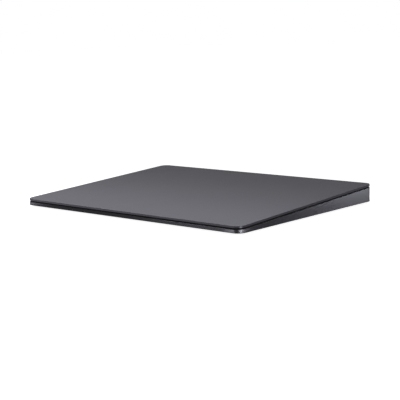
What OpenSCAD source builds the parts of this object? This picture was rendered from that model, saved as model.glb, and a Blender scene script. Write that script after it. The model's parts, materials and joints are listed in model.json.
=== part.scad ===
// Wedge-shaped desktop trackpad with a force-sensing glass plate.
// Millimetres. +X is to the user's right, +Y to the rear and +Z up, from the desk under the pad's middle.
// The plate and what hangs from it lie in a plane that climbs to the rear; the housing's floor is level.

/* [Overall] */
// Width of the pad, side to side
pad_w = 160; // [150:1:180]
// Depth of the pad in plan, front to rear
pad_d = 114.9; // [108:0.1:130]
// Height of the glass above the desk at the front edge
front_h = 4.9; // [4.7:0.1:6]
// Height of the glass above the desk at the rear edge
rear_h = 10.9; // [10.4:0.1:14]
// Corner radius of the pad seen from above
corner_r = 4.5; // [3.5:0.5:10]

/* [Touch plate] */
// Thickness of the cover glass
glass_t = 1.15; // [0.9:0.05:1.3]
// Width of the ground bevel round the glass
glass_bevel = 0.2; // [0.1:0.05:0.4]
// Thickness of the film that bonds the sensor board to the glass
bond_t = 0.1; // [0.05:0.05:0.2]
// Thickness of the touch sensor board
sensor_t = 0.5; // [0.4:0.1:0.7]
// Thickness of the steel stiffener
stiffener_t = 0.5; // [0.4:0.1:0.7]
// Gap from the sensor board's edge to the housing wall
stack_clear = 0.9; // [0.6:0.1:1.5]
// How far the stiffener's edge stands in from the sensor board's
stiffener_step = 1; // [0.5:0.1:2]
// Height of the chips under the sensor board
sensor_chip_h = 0.8; // [0.6:0.1:1]
// Height of the cable connector under the sensor board
sensor_plug_h = 0.75; // [0.6:0.05:1]
// Travel of the plate when it is pressed
press_travel = 0.2; // [0.1:0.05:0.3]

/* [Housing] */
// Shadow gap between the glass and the housing rim
plate_gap = 0.65; // [0.5:0.05:0.9]
// Thickness of the housing's side walls
wall = 1.6; // [1.2:0.1:2.2]
// Thickness of the housing's floor
floor_t = 0.7; // [0.6:0.1:1]
// Chamfer along the housing's bottom edge
base_chamfer = 0.1; // [0.1:0.1:0.5]
// Width of the foam seal on the rim
seal_w = 0.6; // [0.4:0.1:1]
// Room left over the seal when the plate is fully pressed
seal_clear = 0.1; // [0.05:0.05:0.2]

/* [Feet] */
// Height of the housing's underside above the desk
foot_h = 1.15; // [0.8:0.05:1.5]
// Diameter of a rubber foot
foot_d = 12; // [8:0.5:16]
// Distance of a foot's centre from the two nearest edges
foot_inset = 14; // [10:0.5:20]
// Radius of the rounded edge of a foot
foot_round = 0.5; // [0.2:0.1:0.8]

/* [Suspension] */
// Distance of the load cells from the pad's front and rear edges
arm_inset = 19.45; // [16:0.05:24]
// Thickness of a load cell's spring steel
arm_t = 0.4; // [0.3:0.05:0.5]
// Length of the clamped root of a load cell
root_l = 7; // [6:0.5:9]
// Width of the clamped root of a load cell
root_w = 11; // [10:0.5:13]
// Length of the bending beam of a load cell
beam_l = 9; // [7:0.5:11]
// Width of the bending beam of a load cell
beam_w = 5; // [4:0.5:7]
// Length and width of a load cell's paddle
paddle_w = 10; // [9:0.5:12]
// Distance between the two screws of a load cell
arm_screw_pitch = 6.4; // [5:0.2:7.5]
// Thickness of the seat on a paddle
seat_t = 0.3; // [0.2:0.05:0.4]
// Length and width of a seat
seat_w = 8.6; // [7:0.2:9]
// Thickness of a gel pad
gel_t = 0.5; // [0.4:0.05:0.7]
// Length and width of a gel pad
gel_w = 7.6; // [5:0.2:8.4]
// Thickness of a strain gauge
gauge_t = 0.08; // [0.05:0.01:0.12]
// Length of a strain gauge
gauge_l = 5; // [3:0.5:6]
// Width of a strain gauge
gauge_w = 3.4; // [2:0.2:4]

/* [Haptic actuator] */
// Sideways stroke of the plate when the coils pull it
haptic_travel = 0.2; // [0.1:0.05:0.3]
// Length of the core along the pad
core_l = 52; // [46:1:60]
// Height of the core
core_h = 2; // [1.7:0.1:2.2]
// Depth of the core's back bar
yoke_d = 5; // [4:0.5:6]
// Length of a pole
pole_l = 8; // [6:0.5:9]
// Width of a pole
pole_w = 8; // [6:0.5:9]
// Distance from one pole to the next
pole_pitch = 20; // [17:0.5:21]
// Thickness of the winding above and below a pole
coil_wall = 0.4; // [0.3:0.05:0.5]
// Thickness of the winding beside a pole
coil_side = 1.3; // [0.8:0.1:1.8]
// Thickness of the actuator's mounting plate
mount_t = 0.4; // [0.3:0.1:0.6]
// Length of the actuator's mounting plate
mount_l = 66; // [64:1:76]
// Room between the core and the stiffener above it
core_clear = 0.7; // [0.5:0.1:0.9]
// Length of the armature that the poles pull
armature_l = 56; // [48:1:62]
// Thickness of the armature's steel leg
armature_leg_t = 1.2; // [0.8:0.1:1.5]
// Thickness of the armature's welded flange
armature_flange_t = 0.4; // [0.3:0.1:0.5]
// Depth of the armature's welded flange
armature_flange_d = 8; // [6:0.5:10]

/* [Battery] */
// Depth of the cell, front to rear
cell_d = 28; // [22:0.5:30]
// Room between the cell and the stiffener above it
cell_clear = 0.8; // [0.6:0.1:1.2]
// Room between the cell and the left load cells
cell_side = 9; // [8:0.5:12]
// Thickness of the tape under the cell
tape_t = 0.15; // [0.1:0.05:0.25]
// Width of a strip of tape
tape_w = 6; // [4:0.5:9]
// Length of the cell's sealed ledge
ledge_l = 4.5; // [4:0.25:6]
// Thickness of the cell's sealed ledge
ledge_t = 0.4; // [0.3:0.05:0.6]

/* [Boards] */
// Thickness of the printed circuit boards on the floor
board_t = 0.8; // [0.6:0.1:1]
// Height of the boards' standoffs
standoff_h = 0.8; // [0.6:0.1:1]
// Diameter of the boards' standoffs
standoff_d = 4; // [3.4:0.1:5]
// Width of the logic board
logic_w = 25; // [24:0.5:27]
// Depth of the logic board
logic_d = 33; // [32.5:0.5:35]
// Height of the flex connectors
plug_h = 0.9; // [0.7:0.1:1.2]
// Thickness of the flex cables
flex_t = 0.15; // [0.1:0.05:0.2]
// Width of the touch cable
touch_flex_w = 8; // [5:0.5:9]
// Width of the other flex cables
flex_w = 3; // [2:0.2:3.4]

/* [Screws] */
// Thread diameter of the screws
screw_d = 1.4; // [1.2:0.1:1.6]
// Head diameter of the screws
screw_head_d = 2.6; // [2.2:0.1:3]
// Head height of the screws
screw_head_h = 0.4; // [0.3:0.05:0.5]
// Thread length in the housing below a load cell
arm_bite = 0.6; // [0.5:0.05:0.7]
// Thread length in the housing below a board or the actuator
boss_bite = 0.9; // [0.7:0.05:1]

/* [Charging socket] */
// Outside width of the socket's shell
socket_w = 8.94; // [8.6:0.02:9.4]
// Outside height of the socket's shell
socket_h = 3.26; // [3:0.02:3.6]
// Wall of the socket's shell
socket_wall = 0.3; // [0.2:0.05:0.35]
// Length of the socket's shell
socket_l = 7.35; // [6.5:0.05:8]
// How far the socket's mouth stands in from the rear face
socket_set_in = 0.25; // [0.1:0.05:0.5]
// Width of the socket's tongue
tongue_w = 6.69; // [6.4:0.01:6.9]
// Thickness of the socket's tongue
tongue_t = 0.7; // [0.6:0.05:0.8]
// Thickness of the clamp over the socket
clamp_t = 0.4; // [0.3:0.05:0.6]

/* [Power switch] */
// Stroke of the switch from off to on
switch_travel = 2.2; // [1.5:0.1:2.6]
// Length of the slider's knob
knob_l = 5.2; // [4:0.1:6]
// Height of the slider's knob
knob_h = 2.5; // [2:0.1:3]
// How far the knob stands in from the rear face
knob_set_in = 0.3; // [0.1:0.05:0.6]
// Thickness of the slider's hidden flange
flange_t = 0.7; // [0.5:0.05:0.9]
// Thickness of the guide behind the wall
guide_t = 1.6; // [1.5:0.05:1.9]

/* [Hidden] */
$fn = 64;
small_fit = 0.05;
slide_fit = 0.1;
open_fit = 0.15;

// Tilt of the plate and the frame that goes with it
tilt = atan((rear_h - front_h) / pad_d);
mid_h = (front_h + rear_h) / 2;
plate_shift = glass_t * sin(tilt) / 2;
plate_d = (pad_d - 2 * plate_shift) / cos(tilt);

// Depth of each layer's underside below the top of the glass, square to the glass
d_bond = glass_t + bond_t;
d_sensor = d_bond + sensor_t;
d_stiff = d_sensor + stiffener_t;
d_gel = d_stiff + gel_t;
d_seat = d_gel + seat_t;
d_arm = d_seat + arm_t;
d_gauge = d_arm + gauge_t;
d_rim = glass_t + plate_gap;
d_plug = d_sensor + sensor_plug_h;
d_core = d_stiff + core_clear;
d_mount = d_core + core_h;

// Inside of the housing
inner_x = pad_w / 2 - wall;
inner_y = pad_d / 2 - wall;
floor_z = foot_h + floor_t;
foot_sunk = floor_t / 2;
seal_h = plate_gap - press_travel - seal_clear;
seal_inset = (wall - seal_w) / 2;
least_round = 0.5;

// Load cells, from the wall inwards
root_wall_gap = 0.4;
arm_x = inner_x - root_wall_gap;
arm_y = pad_d / 2 - arm_inset;
pedestal_x = arm_x - root_l;
beam_x = pedestal_x - beam_l / 2;
paddle_x = pedestal_x - beam_l - paddle_w / 2;
arm_round = 1.2;

// Logic board, against the right rear load cell
board_z = floor_z + standoff_h;
board_top = board_z + board_t;
logic_side_gap = 1;
board_round = 1;
fork_room = 1.25;
logic_rear_gap = guide_t + fork_room;
logic_x = pedestal_x - logic_side_gap - logic_w;
logic_y = inner_y - logic_rear_gap - logic_d;
plug_top = board_top + plug_h;
standoff_in = 2.2;
socket_flex_room = 8;
logic_screw_spots = [
    [standoff_in, standoff_in], [logic_w - standoff_in, standoff_in],
    [standoff_in, logic_d - socket_flex_room], [logic_w - standoff_in, logic_d - standoff_in]
];
// Chips on the logic board: middle x, middle y, width, depth, height
logic_chip_list = [
    [14.8, 13, 8, 8, 0.9], [7, 12, 5, 5, 0.8], [16.3, 20.6, 5, 5, 0.8],
    [17, 26.2, 3.4, 3.4, 1.6], [10.5, 26.8, 4, 3.2, 0.8]
];
shield_mid = [8.2, 20.6];
shield_size = [9, 7, 1.5];
shield_wall = 0.2;
touch_plug_mid = [12.5, 4.5];
touch_plug_size = [9, 3];
cell_plug_x = 1.8;
cell_plug_size = [2.6, 6];
capacitor_size = [1, 0.6, 0.5];
capacitor_row_x = [7:2:19];
capacitor_row_y = 7.6;

// Battery cell, between the left load cells and the logic board
rear_bay = 9.35;
cell_board_gap = 3.5;
cell_x1 = logic_x - cell_board_gap - ledge_l;
cell_x0 = -(pedestal_x - cell_side);
cell_w = cell_x1 - cell_x0;
cell_y1 = inner_y - rear_bay;
cell_y0 = cell_y1 - cell_d;
cell_mid_x = (cell_x0 + cell_x1) / 2;
cell_mid_y = (cell_y0 + cell_y1) / 2;
cell_z = floor_z + tape_t;
cell_h = under_plate(cell_y0, d_stiff) - cell_clear - cell_z;
cell_round = 2;
cell_edge = 0.6;
tape_in = 3;
protection_t = 0.6;
protection_d = 18;
protection_in = 0.3;
ledge_lap = 1;
protection_chip = [2, 2.6, 0.7];
ledge_z = plug_top - protection_t - ledge_t;

// Haptic actuator, in front of the cell, with its y in the plate's frame
mount_margin = 1;
mount_tab_d = 4.5;
mount_d = mount_margin + pole_l + yoke_d + mount_tab_d;
mount_cell_gap = 1;
mount_y = cell_y0 - mount_cell_gap - mount_d;
pole_y = mount_y + mount_margin;
pole_h = core_h - 2 * (coil_wall + small_fit);
coil_end_gap = 0.6;
pole_clear = 0.3;
air_gap = haptic_travel + pole_clear;
mount_screw_in = 3;
// Two screws between the coils and two in the tab behind the back bar
mount_screw_spots = [
    [pole_pitch / 2, mount_y + mount_screw_in],
    [mount_l / 2 - mount_screw_in, mount_y + mount_d - mount_tab_d / 2]
];
mount_round = 1.5;
boss_d = 4;

// Charging socket, in the middle of the rear wall
rear_axis_z = board_top + socket_h / 2;
socket_y1 = pad_d / 2 - socket_set_in;
socket_y0 = socket_y1 - socket_l;
socket_block_l = 2.2;
tongue_end_gap = 0.7;
contact_size = [0.3, 3.4, 0.05];
contact_pitch = 0.5;
contact_count = 12;
socket_board_x = [-11, 16];
socket_board_d = 8.3;
socket_board_gap = 0.35;
socket_board_y = inner_y - socket_board_gap - socket_board_d;
socket_screw_x = 9;
socket_screw_in = 3.4;
socket_screw_y = inner_y - socket_screw_in;
clamp_d = 4;
clamp_lap = 2;
clamp_foot_end = socket_screw_x + clamp_lap;

// Power switch, on the logic board's rear edge
switch_from_edge = 13;
switch_x = logic_x + switch_from_edge;
knob_x = switch_x - switch_travel / 2;
slot_l = knob_l + switch_travel + 2 * slide_fit;
slot_h = knob_h + 2 * slide_fit;
flange_lap = 0.8;
flange_l = slot_l + switch_travel + 2 * flange_lap;
flange_h = slot_h + 2 * flange_lap;
flange_y1 = inner_y - slide_fit;
pocket_l = flange_l + switch_travel + 2 * slide_fit;
pocket_h = flange_h + 2 * slide_fit;
pocket_t = flange_t + 2 * slide_fit;
guide_side = 1.4;
guide_edge = 0.5;
guide_l = pocket_l + 2 * guide_side;
guide_h = pocket_h + 2 * guide_edge;
guide_round = 0.8;
guide_y0 = inner_y - guide_t;
stem_l = 4.4;
stem_h = 1.8;
stem_reach = 1.2;
stem_y0 = guide_y0 - stem_reach;
lever_l = 1.5;
lever_h = 1.2;
lever_sunk = 2;
lever_hold = 1;
lever_y0 = stem_y0 - lever_sunk;
switch_body_l = 9;
switch_body_d = 3.4;
switch_body_h = 2.9;
switch_body_y1 = stem_y0 - 2 * slide_fit;
flag_t = 0.2;
flag_l = switch_travel + 2 * slide_fit;

// Antenna, between the socket and the switch
antenna_d = 4.35;
antenna_board_gap = 3.5;
antenna_x0 = socket_board_x[1] + antenna_board_gap;
antenna_x1 = logic_x - antenna_board_gap;
antenna_l = antenna_x1 - antenna_x0;
antenna_clear = 0.5;
antenna_wall = 1;
foil_t = 0.08;
foil_w = 1.2;
feed_land = 2.4;

// Sensor board's chips: middle x and y in the plate's frame
sensor_chip_x = 30;
sensor_chip_inset = 33.5;
sensor_chip_mids = [for (side = [-1, 1]) [side * sensor_chip_x, sensor_chip_inset - plate_d / 2]];
sensor_chip_w = 9;
driver_chip = [2, 4];
driver_chip_x = 8;
sensor_window = [24, 14];
sensor_plug_size = [10, 3.4];
sensor_plug_window = [13, 6];
window_round = 1;
touch_flex_span = 9;
sensor_plug_y = logic_y - touch_flex_span;

// Flex cables
flex_edge = 0.4;
gauge_run_inset = 33.5;
gauge_run_y = gauge_run_inset - pad_d / 2;
haptic_run_y = mount_y + mount_d / 2;
haptic_run_x = logic_x + flex_edge;
socket_flex_y = socket_board_y + flex_edge;
flex_land = 3;

CORNERS = [["front_left", -1, -1], ["front_right", 1, -1], ["rear_left", -1, 1], ["rear_right", 1, 1]];
POLES = [["left", -1], ["middle", 0], ["right", 1]];
function corner_names(stem) = [for (c = CORNERS) str(stem, c[0])];

// Height above the desk of a point that lies a depth d below the glass, over plan position y
function under_plate(y, d) = mid_h + (y + plate_shift) * tan(tilt) - d / cos(tilt);
function smooth(t) = t * t * (3 - 2 * t);

// Shared shapes

module plate_frame() {
    translate([0, -plate_shift, mid_h]) rotate([tilt, 0, 0]) children();
}

module below_plate(d) {
    plate_frame() translate([-pad_w, -pad_d, -d - 2 * rear_h]) cube([2 * pad_w, 2 * pad_d, 2 * rear_h]);
}

module above_plate(d) {
    plate_frame() translate([-pad_w, -pad_d, -d]) cube([2 * pad_w, 2 * pad_d, 2 * rear_h]);
}

module rounded_rect(w, d, r) {
    square([w - 2 * r, d], center = true);
    square([w, d - 2 * r], center = true);
    for (x = [-1, 1], y = [-1, 1]) translate([x * (w / 2 - r), y * (d / 2 - r)]) circle(r);
}

module rounded_box(w, d, h, r) {
    linear_extrude(h) rounded_rect(w, d, r);
}

module racetrack(w, h) {
    square([w - h, h], center = true);
    for (x = [-1, 1]) translate([x * (w - h) / 2, 0]) circle(h / 2);
}

// Rounded slab with a chamfer along its bottom and top edges
module chamfered_slab(w, d, h, r, bottom, top) {
    module edge() {
        polygon([[0, 0], [r - bottom, 0], [r, bottom], [r, h - top], [r - top, h], [0, h]]);
    }
    translate([-w / 2 + r, -d / 2 + r, 0]) cube([w - 2 * r, d - 2 * r, h]);
    for (side = [0:3]) {
        across = side % 2 == 0 ? w : d;
        along = side % 2 == 0 ? d : w;
        rotate(90 * side) translate([across / 2 - r, along / 2 - r, 0]) {
            rotate_extrude(angle = 90) edge();
            rotate([90, 0, 0]) linear_extrude(along - 2 * r) edge();
        }
    }
}

module block(mid, size) {
    translate([mid[0] - size[0] / 2, mid[1] - size[1] / 2, mid[2]]) cube(size);
}

// Cross-head screw whose head sits on z = 0 and whose thread points down
module screw(thread_l) {
    cross_w = screw_head_d / 5;
    difference() {
        cylinder(d = screw_head_d, h = screw_head_h);
        for (turn = [0, 90])
            rotate(turn) block([0, 0, screw_head_h / 2], [screw_head_d * 0.6, cross_w, screw_head_h]);
    }
    translate([0, 0, -thread_l]) cylinder(d = screw_d, h = thread_l);
}

// Hole for a screw, down from z = 0, with room past the screw's end
module screw_hole(thread_l) {
    end_room = 0.1;
    translate([0, 0, -thread_l - end_room])
        cylinder(d = screw_d + 2 * small_fit, h = thread_l + 2 * end_room);
}

// Places that several pieces share

module at_corner(sx, sy) {
    mirror([sx < 0 ? 1 : 0, 0, 0]) translate([0, sy * arm_y, 0]) children();
}

module at_arm_screws() {
    for (side = [-1, 1]) translate([pedestal_x + root_l / 2, side * arm_screw_pitch / 2, 0]) children();
}

module at_mount_screws() {
    for (side = [-1, 1], p = mount_screw_spots) translate([side * p[0], p[1], 0]) children();
}

module at_logic_screws() {
    for (p = logic_screw_spots) translate([logic_x + p[0], logic_y + p[1], 0]) children();
}

module at_socket_screws() {
    for (side = [-1, 1]) translate([side * socket_screw_x, socket_screw_y, 0]) children();
}

module at_feet(sx, sy) {
    translate([sx * (pad_w / 2 - foot_inset), sy * (pad_d / 2 - foot_inset), 0]) children();
}

// A shape drawn in x and z, standing in the rear wall with its face to the rear at y
module from_rear(y, depth) {
    translate([0, y, 0]) rotate([90, 0, 0]) linear_extrude(depth) children();
}

// Housing, feet and seal

module housing_shell() {
    difference() {
        translate([0, 0, foot_h]) chamfered_slab(pad_w, pad_d, rear_h, corner_r, base_chamfer, 0);
        translate([0, 0, floor_z])
            rounded_box(2 * inner_x, 2 * inner_y, 2 * rear_h, max(corner_r - wall, least_round));
    }
}

// Bosses square to the plate, from their seats down into the floor
module tilted_bosses() {
    intersection() {
        plate_frame() {
            for (c = CORNERS) at_corner(c[1], c[2])
                translate([pedestal_x, -root_w / 2, -d_arm - 2 * rear_h])
                    cube([root_l + root_wall_gap + wall / 2, root_w, 2 * rear_h]);
            at_mount_screws() translate([0, 0, -d_mount - mount_t - 2 * rear_h])
                cylinder(d = boss_d, h = 2 * rear_h);
        }
        translate([-pad_w / 2, -pad_d / 2, floor_z - floor_t / 2]) cube([pad_w, pad_d, rear_h]);
    }
}

module level_bosses() {
    boss_h = floor_t / 2 + standoff_h;
    translate([0, 0, floor_z - floor_t / 2]) {
        at_logic_screws() cylinder(d = standoff_d, h = boss_h);
        at_socket_screws() cylinder(d = standoff_d, h = boss_h);
    }
}

module housing_holes() {
    plate_frame() {
        for (c = CORNERS) at_corner(c[1], c[2]) at_arm_screws()
            translate([0, 0, -d_arm]) screw_hole(arm_bite);
        at_mount_screws() translate([0, 0, -d_mount - mount_t]) screw_hole(boss_bite);
    }
    translate([0, 0, board_z]) {
        at_logic_screws() screw_hole(boss_bite);
        at_socket_screws() screw_hole(boss_bite);
    }
    for (c = CORNERS) at_feet(c[1], c[2]) cylinder(d = foot_d + 2 * small_fit, h = foot_h + foot_sunk);
    from_rear(pad_d / 2 + wall, 3 * wall) {
        translate([0, rear_axis_z]) racetrack(socket_w + 2 * open_fit, socket_h + 2 * open_fit);
        translate([switch_x, rear_axis_z]) racetrack(slot_l, slot_h);
    }
}

module base_housing() color("#5d5c61") {
    difference() {
        union() {
            housing_shell();
            tilted_bosses();
            level_bosses();
        }
        above_plate(d_rim);
        housing_holes();
    }
}

module foot(sx, sy) color("#2b2b2e") {
    r = foot_d / 2;
    at_feet(sx, sy) rotate_extrude() difference() {
        square([r, foot_h + foot_sunk]);
        difference() {
            translate([r - foot_round, 0]) square(foot_round);
            translate([r - foot_round, foot_round]) circle(foot_round);
        }
    }
}

module edge_seal() color("#161618") {
    plate_frame() translate([0, 0, -d_rim]) linear_extrude(seal_h) difference() {
        inset_plate(seal_inset);
        inset_plate(seal_inset + seal_w);
    }
}

// Touch plate

// Outline of the plate drawn in by a distance, with its corners to match
module inset_plate(inset) {
    rounded_rect(pad_w - 2 * inset, plate_d - 2 * inset, max(corner_r - inset, least_round));
}

module plate_layer(d, t) {
    plate_frame() translate([0, 0, -d]) linear_extrude(t) children();
}

module at_sensor_plug() {
    translate([logic_x + touch_plug_mid[0], sensor_plug_y / cos(tilt)]) children();
}

module cover_glass() color("#6a696e") {
    plate_frame() translate([0, 0, -glass_t])
        chamfered_slab(pad_w, plate_d, glass_t, corner_r, glass_bevel / 2, glass_bevel);
}

module bond_film() color("#d8d4c8") {
    plate_layer(d_bond, bond_t) inset_plate(wall + stack_clear);
}

module sensor_board() color("#1f4d3a") {
    plate_layer(d_sensor, sensor_t) inset_plate(wall + stack_clear);
}

module sensor_components() color("#1b1b1d") {
    plate_layer(d_sensor + sensor_chip_h, sensor_chip_h) for (m = sensor_chip_mids) {
        translate(m) square(sensor_chip_w, center = true);
        for (side = [-1, 1])
            translate([m[0] + side * driver_chip_x, m[1]]) square(driver_chip, center = true);
    }
    plate_layer(d_plug, sensor_plug_h) at_sensor_plug() square(sensor_plug_size, center = true);
}

module stiffener_plate() color("#a9aaad") {
    plate_layer(d_stiff, stiffener_t) difference() {
        inset_plate(wall + stack_clear + stiffener_step);
        for (m = sensor_chip_mids)
            translate(m) rounded_rect(sensor_window[0], sensor_window[1], window_round);
        at_sensor_plug() rounded_rect(sensor_plug_window[0], sensor_plug_window[1], window_round);
    }
}

// Angle of soft steel: a flange welded under the stiffener and a leg in front of the poles
module haptic_armature() color("#8f8f92") {
    leg_y1 = pole_y - air_gap;
    leg_end = d_mount - press_travel - slide_fit;
    plate_frame() {
        translate([-armature_l / 2, leg_y1 - armature_flange_d, -d_stiff - armature_flange_t])
            cube([armature_l, armature_flange_d, armature_flange_t]);
        translate([-armature_l / 2, leg_y1 - armature_leg_t, -leg_end])
            cube([armature_l, armature_leg_t, leg_end - d_stiff]);
    }
}

// Suspension: load cells, their seats and the gel pads under the plate

module paddle_layer(sx, sy, d, t, w) {
    plate_layer(d, t) at_corner(sx, sy) translate([paddle_x, 0]) rounded_rect(w, w, arm_round);
}

module gel_pad(sx, sy) color("#c9cdd2") paddle_layer(sx, sy, d_gel, gel_t, gel_w);

module pad_seat(sx, sy) color("#8a8b8e") paddle_layer(sx, sy, d_seat, seat_t, seat_w);

module load_cell(sx, sy) color("#b4b2ab") {
    plate_layer(d_arm, arm_t) at_corner(sx, sy) difference() {
        union() {
            translate([pedestal_x + root_l / 2, 0]) rounded_rect(root_l, root_w, arm_round);
            translate([paddle_x, 0]) rounded_rect(paddle_w, paddle_w, arm_round);
            translate([paddle_x, -beam_w / 2]) square([pedestal_x + root_l / 2 - paddle_x, beam_w]);
        }
        at_arm_screws() circle(d = screw_d + 2 * small_fit);
    }
}

module strain_gauges() color("#c08a3e") {
    for (c = CORNERS) plate_layer(d_gauge, gauge_t) at_corner(c[1], c[2])
        translate([beam_x, 0]) square([gauge_l, gauge_w], center = true);
}

module load_cell_screws() color("#77787b") {
    plate_frame() for (c = CORNERS) at_corner(c[1], c[2]) at_arm_screws()
        translate([0, 0, -d_seat]) screw(arm_t + arm_bite);
}

module gauge_tab(x, y, z) {
    translate([x - flex_w / 2, y, z]) cube([flex_w, flex_t, rear_h]);
}

// Flex on the floor that joins the gauges to the logic board, with a tab up to each gauge
module gauge_flex() color("#b5702a") {
    reach = arm_y * cos(tilt);
    intersection() {
        below_plate(d_gauge);
        union() {
            translate([0, 0, floor_z]) {
                translate([-beam_x - flex_w / 2, -reach, 0]) cube([flex_w, 2 * reach + flex_t, flex_t]);
                translate([beam_x - flex_w / 2, -reach, 0]) cube([flex_w, reach + logic_y, flex_t]);
                translate([-beam_x, gauge_run_y, 0]) cube([2 * beam_x, flex_w, flex_t]);
            }
            for (sx = [-1, 1]) gauge_tab(sx * beam_x, -reach, floor_z);
            gauge_tab(-beam_x, reach, floor_z);
            gauge_tab(beam_x, reach, board_top);
        }
    }
    translate([beam_x - flex_w / 2, logic_y - flex_t, floor_z]) cube([flex_w, flex_t, board_top - floor_z]);
}

// Haptic actuator

module haptic_mount() color("#9c9da0") {
    plate_layer(d_mount + mount_t, mount_t) difference() {
        translate([0, mount_y + mount_d / 2]) rounded_rect(mount_l, mount_d, mount_round);
        at_mount_screws() circle(d = screw_d + 2 * small_fit);
    }
}

module haptic_core() color("#6f6f73") {
    plate_layer(d_mount, core_h) translate([-core_l / 2, pole_y + pole_l]) square([core_l, yoke_d]);
    plate_layer(d_mount - (core_h - pole_h) / 2, pole_h) for (p = POLES)
        translate([p[1] * pole_pitch - pole_w / 2, pole_y]) square([pole_w, pole_l + yoke_d / 2]);
}

module haptic_coil(place) color("#b0622d") {
    coil_w = pole_w + 2 * (small_fit + coil_side);
    coil_l = pole_l - 2 * coil_end_gap;
    plate_frame() translate([place * pole_pitch, pole_y + pole_l - coil_end_gap, -d_mount + core_h / 2])
        rotate([90, 0, 0]) linear_extrude(coil_l) difference() {
            rounded_rect(coil_w, core_h, core_h / 4);
            square([pole_w + 2 * small_fit, pole_h + 2 * small_fit], center = true);
        }
}

module haptic_screws() color("#77787b") {
    plate_frame() at_mount_screws() translate([0, 0, -d_mount]) screw(mount_t + boss_bite);
}

// Flex from the end of the actuator's plate, along the floor, to the logic board's front edge
module haptic_flex() color("#b5702a") {
    mount_end = mount_l / 2;
    intersection() {
        below_plate(d_mount);
        union() {
            translate([mount_end, haptic_run_y, floor_z])
                cube([haptic_run_x + flex_w - mount_end, flex_w, flex_t]);
            translate([mount_end, haptic_run_y, floor_z]) cube([flex_t, flex_w, rear_h]);
            translate([haptic_run_x, haptic_run_y, floor_z]) cube([flex_w, logic_y - haptic_run_y, flex_t]);
        }
    }
    translate([haptic_run_x, logic_y - flex_t, floor_z]) cube([flex_w, flex_t, board_top - floor_z]);
}

// Battery

module battery_cell() color("#8d9196") {
    translate([cell_mid_x, cell_mid_y, cell_z])
        chamfered_slab(cell_w, cell_d, cell_h, cell_round, cell_edge, cell_edge);
    translate([cell_x1 - cell_round, cell_mid_y - protection_d / 2 - ledge_lap, ledge_z])
        cube([ledge_l + cell_round, protection_d + 2 * ledge_lap, ledge_t]);
}

module battery_tape() color("#e4e2dc") {
    for (side = [-1, 1])
        block([cell_mid_x, cell_mid_y + side * cell_d / 4, floor_z], [cell_w - 2 * tape_in, tape_w, tape_t]);
}

module battery_protection_board() color("#1f4d3a") {
    top = ledge_z + ledge_t;
    mid = [cell_x1 + ledge_l / 2, cell_mid_y];
    block([mid[0], mid[1], top], [ledge_l - 2 * protection_in, protection_d, protection_t]);
    for (side = [-1, 1])
        block([mid[0], mid[1] + side * protection_d / 3, top + protection_t], protection_chip);
}

module battery_flex() color("#b5702a") {
    start = cell_x1 + ledge_lap;
    translate([start, cell_mid_y - flex_w / 2, plug_top])
        cube([logic_x + cell_plug_x + cell_plug_size[0] / 2 - start, flex_w, flex_t]);
}

// Logic board and what is on it

module on_logic(z = board_top) {
    translate([logic_x, logic_y, z]) children();
}

module logic_board() color("#1f4d3a") {
    difference() {
        on_logic(board_z) translate([logic_w / 2, logic_d / 2, 0])
            rounded_box(logic_w, logic_d, board_t, board_round);
        translate([0, 0, board_top]) at_logic_screws() screw_hole(2 * board_t);
    }
}

module logic_components() color("#1b1b1d") {
    on_logic() {
        for (c = logic_chip_list) block([c[0], c[1], 0], [c[2], c[3], c[4]]);
        block([touch_plug_mid[0], touch_plug_mid[1], 0], [touch_plug_size[0], touch_plug_size[1], plug_h]);
        block([cell_plug_x, cell_mid_y - logic_y, 0], [cell_plug_size[0], cell_plug_size[1], plug_h]);
        for (x = capacitor_row_x) block([x, capacitor_row_y, 0], capacitor_size);
    }
}

module radio_shield() color("#b9babd") {
    inner = [shield_size[0] - 2 * shield_wall, shield_size[1] - 2 * shield_wall, shield_size[2]];
    on_logic() difference() {
        block([shield_mid[0], shield_mid[1], 0], shield_size);
        block([shield_mid[0], shield_mid[1], -shield_wall], inner);
    }
}

module logic_screws() color("#77787b") {
    translate([0, 0, board_top]) at_logic_screws() screw(board_t + boss_bite);
}

// Flex from the sensor board's connector down to the logic board's, with a slack S between
module touch_flex() color("#b5702a") {
    x = logic_x + touch_plug_mid[0];
    y_low = logic_y + touch_plug_mid[1];
    low = [y_low - touch_plug_size[1] / 2, y_low + touch_plug_size[1] / 2];
    high = [sensor_plug_y - sensor_plug_size[1] / 2 + flex_edge, sensor_plug_y + sensor_plug_size[1] / 2];
    steps = 12;
    bend = [for (i = [0:steps]) let (t = i / steps, y = high[1] + t * (low[0] - high[1]))
        [y, (1 - smooth(t)) * under_plate(y, d_plug) + smooth(t) * (plug_top + flex_t)]];
    upper = concat([[high[0], under_plate(high[0], d_plug)]], bend, [[low[1], plug_top + flex_t]]);
    lower = [for (i = [len(upper) - 1:-1:0]) upper[i] - [0, flex_t]];
    translate([x - touch_flex_w / 2, 0, 0]) rotate([90, 0, 90]) linear_extrude(touch_flex_w)
        polygon(concat(upper, lower));
}

// Antenna

module antenna_carrier() color("#2a2a2d") {
    y0 = inner_y - antenna_d;
    h = under_plate(y0, d_stiff) - press_travel - antenna_clear - floor_z;
    difference() {
        translate([antenna_x0, y0, floor_z]) cube([antenna_l, antenna_d, h]);
        for (half = [0, 1]) translate([
            antenna_x0 + antenna_wall + half * (antenna_l - antenna_wall) / 2,
            y0 - antenna_wall, floor_z + antenna_wall
        ]) cube([(antenna_l - 3 * antenna_wall) / 2, antenna_d, h - 2 * antenna_wall]);
    }
}

// Copper track over the carrier's top and down its end
module antenna_foil() color("#b0622d") {
    y0 = inner_y - antenna_d;
    top = under_plate(y0, d_stiff) - press_travel - antenna_clear;
    translate([antenna_x0 + antenna_wall, y0, top])
        cube([antenna_l - antenna_wall + foil_t, foil_w, foil_t]);
    translate([antenna_x1, y0, board_top]) cube([foil_t, foil_w, top - board_top]);
}

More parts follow.
